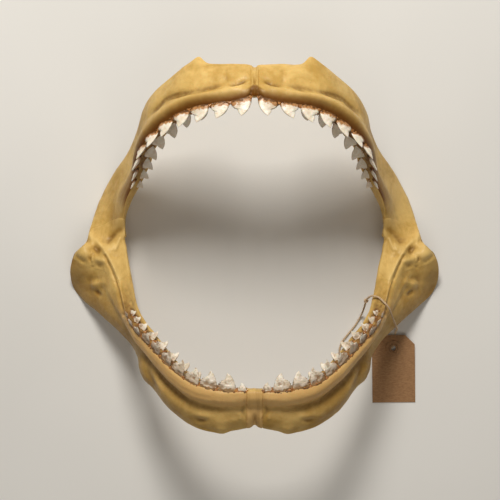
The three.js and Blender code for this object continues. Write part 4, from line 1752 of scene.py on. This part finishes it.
@dataclass
class Dentition:
    """The teeth and the gums of an arch."""

    arch: Arch
    crown: Crown
    start: float  # of its first tooth, along the lip
    widths: Numbers
    rows: tuple[ToothRow, ...]
    spacing: float = 1.0

    def reach(self) -> float:
        """Where the row ends, along the lip."""
        return self.start + sum(self.widths) + self.spacing * len(self.widths)

    def share(self, run: np.ndarray) -> np.ndarray:
        """How far along the row some distances along the lip are, 0 to 1."""
        return ramp(0.0, 1.0, (run - self.start) / (self.reach() - self.start))

    def frames(self, run: np.ndarray, row: ToothRow) -> tuple[np.ndarray, ...]:
        """Root, along, up and face of a row at some distances along the lip.

        Args:
            run: The distances.
            row: The row.

        Returns:
            The roots' points and three unit vectors at each.
        """
        r = self.arch.rails(self.arch.place_at(run))
        share = self.share(run)

        def graded(pair: Pair) -> np.ndarray:
            """A pair's value there."""
            return (pair[0] + (pair[1] - pair[0]) * share)[:, None]

        lean = np.radians(graded(row.lean))
        along = r["along"]
        up = unit(r["lip"] - r["rim"]) * np.cos(lean) - r["front"] * np.sin(lean)
        up = unit(up - along * np.sum(up * along, axis=-1, keepdims=True))
        face = np.cross(up, along) * self.arch.sign
        root = r["lip"] + (r["foot"] - r["lip"]) * graded(row.down)
        turn = np.radians(graded(row.turn))
        along = along * np.cos(turn) + face * np.sin(turn)
        rake = np.radians(graded(row.rake))
        up, along = up * np.cos(rake) + along * np.sin(rake), along * np.cos(rake) - up * np.sin(rake)
        face = np.cross(up, along) * self.arch.sign
        return root, along, up, face

    def teeth(self, row: ToothRow, seed: int) -> Shell:
        """All the teeth of a row, for the left side.

        Args:
            row: The row.
            seed: Picks its small differences.

        Returns:
            The shell.
        """
        widths = np.array(self.widths)
        starts = self.start + np.concatenate([[0], np.cumsum(widths + self.spacing)[:-1]])
        middles = starts + widths / 2
        share = self.share(middles)
        shells = []
        for k, (root, along, up, face) in enumerate(zip(*self.frames(middles, row))):
            size, bare, old = (a + (b - a) * share[k] for a, b in (row.size, row.root, row.old))
            width = widths[k] * size
            shell = self.crown.shell(root - along * width / 2, along, up, face, width, old, seed + k)
            shell.values["crown"] = shell.values["crown"] - bare
            shells.append(shell)
        return Shell.joined(shells)

    def gum(self, row: ToothRow, seed: int) -> Shell:
        """The ragged strip of gum round the roots of a row, for the left side.

        Args:
            row: The row.
            seed: Picks its small differences.

        Returns:
            The shell.
        """
        run = np.arange(self.start - 1.5, self.reach() + 0.5, 0.3)
        root, along, up, face = self.frames(run, row)
        edges = self.start - 0.5 + np.concatenate([[0], np.cumsum(np.array(self.widths) + self.spacing)])
        nearest = np.min(np.abs(run[:, None] - edges[None]), axis=1)
        peak = np.exp(-(nearest / 1.5) ** 2)
        shreds = ramp(-0.35, 0.45, noise(root, 2.6, seed + 7, 2))
        between = 2.4  # how high it reaches between two teeth, and how deep it is rooted
        rise = row.gum_height * shreds + between * peak
        width = np.interp(run, edges[:-1], self.widths)
        ends = ramp(0, 3, run - run[0]) * ramp(0, 3, run[-1] - run)
        sides = 24
        turn = np.arange(sides) * 2 * math.pi / sides
        body = row.gum_thickness * (0.35 + 0.65 * np.maximum(peak, shreds))
        out = (0.05 * width * (1 - 0.45 * peak) + body)[:, None] * np.sin(turn)[None]
        high = np.where(np.cos(turn) > 0, rise[:, None] * np.cos(turn)[None], between * np.cos(turn)[None])
        plain = root[:, None] + up[:, None] * high[..., None] + face[:, None] * out[..., None]
        ragged = noise(plain, 1.5, seed, 3)
        out = out * (1 + 0.3 * ragged) * ends[:, None]
        high = (high + np.maximum(np.cos(turn), 0)[None] * 1.5 * ragged) * (0.3 + 0.7 * ends[:, None])
        grid = root[:, None] + up[:, None] * high[..., None] + face[:, None] * out[..., None]
        margin = ramp(0.55, 1.0, high / rise[:, None])
        return tube_shell(grid, {"junction": np.maximum(peak[:, None], margin)})

    def build(self, finishes: Finishes) -> None:
        """Makes the rows of both sides, and their gums.

        Args:
            finishes: The materials.
        """
        for side in Side:
            for k, row in enumerate(self.rows):
                seed = 100 + 40 * k + (500 if side is Side.RIGHT else 0) + self.arch.seed
                name = f"{self.arch.name}_{side.label}_row_{k + 1}"
                teeth = self.teeth(row, seed).mirrored(side)
                teeth.piece(f"{name}_teeth", Slot.TOOTH, finishes.tooth)
                self.gum(row, seed + 30).mirrored(side).piece(f"{name}_gum", Slot.GUM, finishes.gum)


# ---- tag and twine ----------------------------------------------------------------------


@dataclass
class TagPatch:
    """The round patch of card pressed on round the hole of the tag."""

    foot: Numbers = (133.1, -150.2, 0.0)  # middle of the tag's lower edge
    up: float = 51.8  # from the lower edge to the hole
    tilt: float = 2.6
    turn: float = 0.8
    top: float = 0.7  # thickness of the tag
    profile: Points = ((2.55, -0.3), (2.6, 0.3), (2.9, 0.6), (3.9, 0.6), (4.2, 0.05), (4.5, 0.55), (6.0, 0.6),
                       (7.3, 0.6), (7.5, 0.1), (7.5, -0.3))
    sides: int = 96
    shade: float = 0.45  # how dark its pressed ring is, as painted shade in its groove and at its edges

    def build(self, finishes: Finishes) -> None:
        """Makes the patch on the tag.

        Args:
            finishes: The materials.
        """
        outline = knotted(np.array([(r, 0, z) for r, z in self.profile], float)[None], 4, closed=False)[0]
        turn = np.linspace(0, 2 * math.pi, self.sides, endpoint=False)
        around = np.stack([np.cos(turn), np.sin(turn)], axis=-1)
        grid = np.zeros((len(outline), self.sides, 3))
        grid[..., :2] = outline[:, None, :1] * around[None] + (0.0, self.up)
        grid[..., 2] = outline[:, None, 2] + self.top
        leaning = Euler((math.radians(self.tilt), 0.0, math.radians(self.turn)), "XYZ").to_matrix()
        grid = grid @ np.array(leaning).T + self.foot
        index = np.arange(grid[..., 0].size).reshape(grid.shape[:2])
        around_next, out_next = np.roll(index, -1, axis=1), np.roll(index, -1, axis=0)
        corner = np.roll(around_next, -1, axis=0)
        quads = np.stack([index, around_next, corner, out_next], axis=-1).reshape(-1, 4)
        # Painted shade where the patch lies low, in the ring's groove and at its edges.
        low = ramp(0.4, 0.0, outline[:, 2])[:, None] * np.full(self.sides, self.shade)
        shell = Shell(grid.reshape(-1, 3), [quads], {"hollow": low.ravel()}).outward()
        shell.piece("tag_patch", Slot.CARD, finishes.card)


@dataclass
class Twine:
    """The twine that ties the tag on, laid of two strands, with its knot."""

    route: Points
    knot: Numbers
    diameter: float = 1.6
    length: float = 248.0
    lay: float = 4.6  # along the twine for one turn of its strands
    strand: float = 0.5  # radius
    offset: float = 0.42  # of each strand's middle from the twine's
    sides: int = 8
    hairs: int = 420
    knot_hairs: int = 40
    hair_reach: float = 1.8
    hair_radius: float = 0.05
    seed: int = 11

    def strands(self, path: np.ndarray) -> list[Shell]:
        """The two strands wound round a path.

        Args:
            path: The twine's middle line.

        Returns:
            Both shells.
        """
        first, second = carried(path)
        run = np.concatenate([[0], np.cumsum(np.linalg.norm(np.diff(path, axis=0), axis=1))])
        made = []
        for phase in (0, math.pi):
            angle = run / self.lay * 2 * math.pi + phase
            middle = path + (first * np.cos(angle)[:, None] + second * np.sin(angle)[:, None]) * self.offset
            radius = self.strand * (1 + 0.1 * noise(middle, 1.6, self.seed))
            made.append(rod(middle, radius, self.sides))
        return made

    def fuzz(self, path: np.ndarray, count: int) -> list[Shell]:
        """Short loose fibres along a path.

        Args:
            path: The twine's middle line.
            count: How many.

        Returns:
            A shell for each.
        """
        rng = np.random.default_rng(self.seed)
        first, second = carried(path)
        along = unit(np.gradient(path, axis=0))
        made = []
        for _ in range(count):
            i = int(rng.integers(1, len(path) - 1))
            angle = rng.uniform(0, 2 * math.pi)
            out = first[i] * math.cos(angle) + second[i] * math.sin(angle)
            length = rng.uniform(0.5, 1.0) * self.hair_reach
            way = unit(out * rng.uniform(0.4, 1) + along[i] * rng.uniform(-1, 1))
            bend = rng.normal(0, 0.3, 3)
            t = np.linspace(0, 1, 5)[:, None]
            hair = path[i] + out * 0.6 + way * t * length + bend * t ** 2 * length * 0.5
            hair[:, 2] = np.maximum(hair[:, 2], 0.06)
            made.append(rod(hair, self.hair_radius, 3))
        return made

    def build(self, finishes: Finishes) -> None:
        """Args:
            finishes: The materials.
        """
        path = knotted(np.array(self.route, float)[None], 18, closed=False)[0]
        shells = self.strands(path) + self.fuzz(path, self.hairs)
        twine = Shell.joined(shells).piece("twine_strands", Slot.TWINE, finishes.twine, ("twine",))
        turn = np.linspace(0, 2 * math.pi, 90)
        out = 1.0 + 0.45 * np.cos(3 * turn)
        loops = np.stack([out * np.cos(2 * turn), out * np.sin(2 * turn), 1.125 * np.sin(3 * turn)], axis=-1)
        coil = np.array(self.knot, float) + loops
        knot = Shell.joined(self.strands(coil) + self.fuzz(coil, self.knot_hairs))
        tied = knot.piece("twine_knot_coils", Slot.TWINE, finishes.twine, ("twine_knot",))


# ---- the part ---------------------------------------------------------------------------

UPPER_FOLDS = (
    Fold(((24.2, 136.8), (33.4, 136.5), (42.6, 135), (51.8, 133.5), (64.4, 132.3), (74, 131),
          (80.5, 128.5), (88.9, 120.8), (98.3, 112.4)), 3.0, -1.9, 0.2),  # groove over the lip roll
    Fold(((58, 133.7), (68, 131.8), (78, 129)), 3.4, -0.7, 0.5),  # its deepest dent
    Fold(((2.7, 137.5), (18, 134), (33.3, 131), (51.5, 128), (67.5, 124.7), (80, 118.4), (90, 111),
          (98, 101)), 3.4, 1.6),  # lip roll
    Fold(((24.1, 157.3), (24.9, 150.4), (24, 143.1),
          (22.2, 137.6)), 2.2, -0.65, 0.4),  # crease beside the front panel
    Fold(((27, 136.6), (22.8, 136.7), (14.6, 138), (9.6, 141.2),
          (5, 144.2)), 2.0, -1.6, 0.4),  # step under the front panel
    Fold(((22, 141), (15.5, 142.4), (9, 147), (5, 151.5)), 3.4, 0.6, 0.5),  # slanting edge of the panel
    Fold(((5, 144.2), (3, 148.8), (2.9, 153)), 1.6, -0.4, 0.5),  # hollow beside the band
    Fold(((25.5, 132.6), (14.6, 134.8), (7, 138.2), (3.8, 140.6)), 2.4, 0.8, 0.4),  # ridge under the panel
    Fold(((0.6, 137.5), (2.6, 130), (5.2, 122),
          (6.4, 114)), 2.4, -2.6, 0.3),  # hollow between the two lip rolls
    Fold(((48.9, 162.5), (47, 154.9), (43.3, 145.6)), 3.5, 0.6),  # soft fold under the horn
    Fold(((101, 110), (110.2, 98.3), (116.7, 83.3), (120.7, 67.7)), 3.4, -0.7, 0.5),  # furrow down the side
    Fold(((129.1, 55.1), (132, 42), (132.7, 26.9), (135.7, 11.9),
          (139.4, -1.2)), 4.2, -0.7, 0.5),  # furrow into the flange
    Fold(((121.7, 36.7), (124.1, 26.6), (128.4, 18.3),
          (137.7, 9.1)), 3.0, 1.1, 0.5),  # fold down the flange
    Fold(((121.9, 22.9), (125, 12.7), (130.4, 4.3),
          (137.5, -2.2)), 3.2, -2.2, 0.4),  # inner furrow of the flange
)
JOINT_FOLDS = (
    Fold(((160, 17), (155.5, 9), (150, 4.5), (144, 1),
          (138.5, -1.5)), 4.5, 4.5, 0.4),  # swollen end of the flange
    Fold(((154.2, 15.7), (154.7, 9.4), (152.9, 1.4),
          (150.6, -3.1)), 1.7, 1.1, 0.4),  # outer border of the flange
    Fold(((154.5, 0.5), (150.5, -2.8), (146, -5.5),
          (140.5, -8)), 3.4, -4.2, 0.45),  # hollow under the flange
    Fold(((150.5, -4.5), (146, -6.5), (141.5, -7.5)), 3.6, -1.2, 0.5),  # its broad lower end
    Fold(((149.3, 5.4), (140.8, -4), (137.7, -9.4), (133.2, -16.5), (129.6, -23.2),
          (126.4, -33)), 1.7, 1.7),  # long ridge
    Fold(((140.2, -8), (135.4, -17.4), (131.9, -24.6), (128.7, -32.2),
          (125.2, -42)), 1.7, -2.2, 0.1),  # furrow outside it
    Fold(((121.5, 15.5), (129.6, 10.3), (134.1, 6.7), (137.2, -0.4),
          (138.1, -3.1)), 2.8, -1.9),  # inner furrow of the flange
    Fold(((125.6, 8.1), (127.8, 0.5), (130.5, -7.1)), 1.4, 1.6),  # sharp fold of the ligament
    Fold(((130.6, 2), (133.2, -6.7)), 1.2, 0.9),  # smaller fold beside it
    Fold(((132.2, -9.8), (130, -11.2)), 1.8, -1.0, 0.0),  # pit at its end
    Fold(((170, -7), (164.5, -8.5), (157, -10.5), (151, -12.5)), 5.6, 3.2, 0.4),  # outer joint roll
    Fold(((158.5, -1.5), (154.6, -4.6),
          (152, -8)), 2.2, -1.0, 0.4),  # furrow between the flange and the roll
    Fold(((168.5, -8.5), (165, -12.6), (160.5, -15.6),
          (156.5, -16)), 1.9, -1.3, 0.3),  # dent below the outer roll
    Fold(((150.6, -9.4), (152, -13.8), (151.5, -17.5)), 1.1, 1.8, 0.4),  # crease over the roll
    Fold(((153.6, -10.7), (153.6, -16.5)), 1.1, -1.2, 0.4),  # furrow beside the crease
    Fold(((152.2, -18.7), (151.1, -22.8)), 1.6, -0.9, 0.5),  # dent below the crease
    Fold(((152.5, -12.5), (146, -14), (140, -15.6), (136.5, -17.5)), 3.2, 2.2, 0.35),  # inner joint roll
    Fold(((150, -18.2), (145, -19.6), (139.4, -20)), 2.4, -1.1, 0.5),  # dent below the inner roll
)
LOWER_FOLDS = (
    Fold(((149.5, -32), (148.5, -38), (144, -42)), 5.0, 1.6, 0.5),  # bump of the wing
    Fold(((148, -30), (146, -42)), 10.0, 1.5, 0.6),  # its broad middle
    Fold(((151.5, -40), (147.6, -45), (141, -49.5)), 2.3, -1.5, 0.45),  # notch under it
    Fold(((153.8, -24), (154.4, -38.9), (153, -54)), 3.0, -0.7, 0.5),  # edge of the outer third
    Fold(((133.3, -16.1), (129.3, -23.5), (126.4, -34.6), (121.8, -49.1),
          (119.4, -59.9)), 2.6, 1.1, 0.2),  # its long ridge
    Fold(((131.9, -24.6), (128.7, -32.2), (125.2, -42), (122.9, -51.4),
          (120.4, -67.8)), 2.1, -2.2, 0.1),  # furrow outside it
    Fold(((116.5, -74.7), (106.3, -88.2), (97.7, -101.8), (85.9, -115.6), (74.9, -124.8), (58.8, -137.8),
          (46, -142)), 7.0, -1.7, 0.35),  # groove under the lip
    Fold(((72, -128), (56, -138.5), (44, -142), (30, -143.5),
          (12, -143.3)), 7.0, -0.8, 0.45),  # its end at the front
    Fold(((124.7, -49.2), (117.2, -65.2), (107.2, -82.8), (93.5, -98.1), (78.4, -111.3), (61.9, -122.7),
          (44.1, -128.2), (16.1, -132.8)), 5.5, 0.5, 0.2),  # lip roll
    Fold(((104.4, -103.5), (100.6, -117.9), (95.8, -133)), 3.2, 1.3, 0.4),  # outer fold of the side
    Fold(((101.4, -106.9), (93.5, -120.6), (85, -135.4)), 3.4, -1.9, 0.4),  # furrow between the side folds
    Fold(((97, -107.4), (89.6, -121.2), (81, -135.7)), 3.4, 1.2, 0.4),  # inner fold of the side
    Fold(((56, -148.5), (46, -151), (34, -150.5)), 2.8, 0.9, 0.45),  # wrinkle of the face
    Fold(((58.2, -153.4), (48.2, -156), (38, -154.6)), 2.8, -1.3, 0.45),  # pocket above the rim
    Fold(((37.5, -162.2), (28.7, -163.5), (20.7, -159.9)), 4.2, 1.4, 0.5),  # swelling of the rim
    Fold(((5.6, -124), (7.2, -135), (9.3, -142.5), (10.6, -146.5), (8.6, -152),
          (5.3, -158.5)), 1.9, -0.8, 0.3),  # border of the band
    Fold(((0, -146), (0, -165)), 2.4, -1.7, 0.35),  # hollow at the foot of the band
    Fold(((14.5, -147.5), (12, -151), (13.5, -154.5)), 1.6, 0.5),  # curl beside the band
)

UPPER = Arch(
    name="upper", sign=1, band=5.6, seed=1,
    lips=((0, 127.5, 150), (10, 125.2, 149.5), (24, 122.4, 147.5), (41, 120.8, 143), (49.5, 119.2, 140),
          (57.4, 117.3, 136.5), (73, 110.6, 127), (91.3, 97.8, 110), (100.6, 87.1, 97), (105.6, 76.2, 84.5),
          (110.2, 57.2, 65), (119.1, 39.3, 50), (122.4, 19.2, 38), (120.8, -6, 28)),
    rims=((0, 157.2, 127), (8, 157.6, 126), (21, 158.4, 123), (41, 159, 117), (49, 166.6, 113.5),
          (57, 162, 111.5), (69, 153.5, 104), (88.3, 139.2, 86), (100.9, 123.7, 67), (107, 106.6, 52),
          (117.5, 87, 32), (138.5, 60, 3.4), (151.5, 30.2, 1.9), (160, -6, 24)),
    beds=((22, -3), (22, -3), (21.5, -3), (21, -1.5), (21, 0), (20.5, 3), (19.5, 5), (18, 8.5), (17, 10),
          (17.5, 11), (16, 5), (18, 3), (18, 0), (15, 2)),
    roll=(4, 4.8, 3.6, 0.5), groove=(-1.8, -1.0, -1.0, 0), face=(2.5, 3, 0.5, 1), rim=(3.5, 4, 3, 3),
    back=(4, 3, 0, 2), bed=(1.5, 2, 1.5, 2), horns=((4, 7.0), (5, 3.8)), folds=UPPER_FOLDS,
    lip_stain=1.0,
)
LOWER = Arch(
    name="lower", sign=-1, band=12.4, seed=5,
    lips=((0, -128, 138), (20.9, -128.6, 136.5), (34.9, -127.3, 133.5), (54.3, -122.9, 126.5),
          (71.5, -112.7, 115.5), (86.5, -99.1, 101.5), (99, -86.9, 88.5), (108.7, -78.3, 79),
          (116.7, -66.1, 68.5), (121.2, -51.8, 58.5), (129.2, -25.4, 45), (136.8, -10.6, 38),
          (142.9, 4, 33)),
    rims=((0, -161.0, 118), (19.4, -164.5, 115), (32.8, -166.6, 112), (54.3, -162.1, 104.5),
          (74.5, -149.9, 92.5), (89.8, -133.8, 77), (103.6, -118.7, 60), (107, -104.7, 51),
          (117.1, -89.6, 40), (143.2, -67.7, 19), (169.4, -45.9, 0), (174.1, -23, 13), (163.1, 8, 27)),
    beds=((20, 0), (19.5, 1), (18.5, 2.5), (17.5, 5.5), (17.5, 7.5), (17.5, 9), (17.5, 10.5), (18, 12),
          (18.5, 12), (17.5, 11.5), (14, 14), (11, 19), (8, 20)),
    roll=(3.5, 4, 2, 0), groove=(-0.5, 0.5, 1, -2), face=(3, 3, 0.5, 4.5), rim=(4, 4, 3, 4),
    back=(4, 3, 0, 4), bed=(1.5, 2, 1.5, 2), folds=LOWER_FOLDS,
    lip_stain=0.1, lip_flesh=0.8, face_shade=0.42,
    notch=(2.0, 2.2, 154.0), slot=(0.9, -155.0, 4.0), gum_depth=11.4,
)
UPPER_TEETH = Dentition(
    arch=UPPER, crown=UPPER_CROWN, start=3.4, widths=(17.5, 17, 18, 17, 18.5, 18, 17.5, 15.5, 13, 10),
    spacing=1.3,
    rows=(ToothRow(lean=(12, -22), turn=(0, 18), rake=(0, 16), size=(1.06, 0.92), root=(0.06, 0.04)),
          ToothRow(down=(0.42, 0.42), lean=(50, 62), turn=(0, 10), rake=(0, 10), size=(0.85, 0.9),
                   root=(-0.1, -0.1))),
)
LOWER_TEETH = Dentition(
    arch=LOWER, crown=LOWER_CROWN, start=6.6,
    widths=(8.5, 16.5, 16.5, 16, 16, 15.5, 15, 13.5, 12, 10.5, 8.5),
    rows=(ToothRow(lean=(32, -10), rake=(0, -14), size=(1.0, 0.95), root=(0.1, 0.2), old=(0.3, 0.9),
                   gum_thickness=0.8),
          ToothRow(down=(0.66, 0.30), lean=(88, 50), rake=(0, -10), size=(0.72, 0.85), root=(0.0, 0.15),
                   old=(0.3, 0.35), gum_height=2.2, gum_thickness=1.1)),
)
TWINE = Twine(
    route=(
        (104.6, -50.9, 36.6), (106.7, -48.4, 43), (109, -47.3, 46.9), (111.5, -47.6, 49.2),
        (115.1, -49, 53.8), (118, -51.8, 58.9), (120.1, -54.2, 61.8), (121.8, -56.2, 62.1),
        (123.6, -59.1, 59.9), (125.9, -63.5, 54), (128.3, -68.6, 46.8), (130.8, -73.5, 39.8),
        (133, -77.8, 31), (134.2, -80, 20), (134.6, -81.4, 10), (134.5, -83, 3.8),
        (134.3, -86.4, 1), (134, -90, 0.9), (133.2, -94.4, 0.9), (131, -98.3, 0.9),
        (126.4, -100.8, 0.9), (116, -103.2, 0.9), (103, -107.6, 0.9), (91, -110.2, 0.9),
        (84.2, -107, 0.9), (81.4, -100.6, 0.9), (83.2, -93.6, 0.9), (89, -85.6, 0.9),
        (96, -77, 0.9), (100.4, -69.8, 1.3), (102.6, -64.5, 5), (103.6, -60, 13),
        (104, -56.4, 22.5), (104, -53.9, 30.2),
    ),
    knot=(104.2, -52.4, 33.4),
)


def main() -> None:
    """Builds the jaw, its teeth, the twine and the tag, and the studio round them."""
    logging.basicConfig(level=logging.INFO, format="%(message)s")
    studio = Studio()
    studio.camera()
    finishes = Finishes.build()
    TWINE.build(finishes)
    build_jaws(JointLine(), JointCapsule(folds=JOINT_FOLDS), finishes)
    for teeth in (UPPER_TEETH, LOWER_TEETH):
        teeth.build(finishes)
    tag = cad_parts["tag"]
    tag.data.materials.clear()
    tag.data.materials.append(finishes.card)
    TagPatch().build(finishes)
    studio.build()


if __name__ == "__main__":
    main()
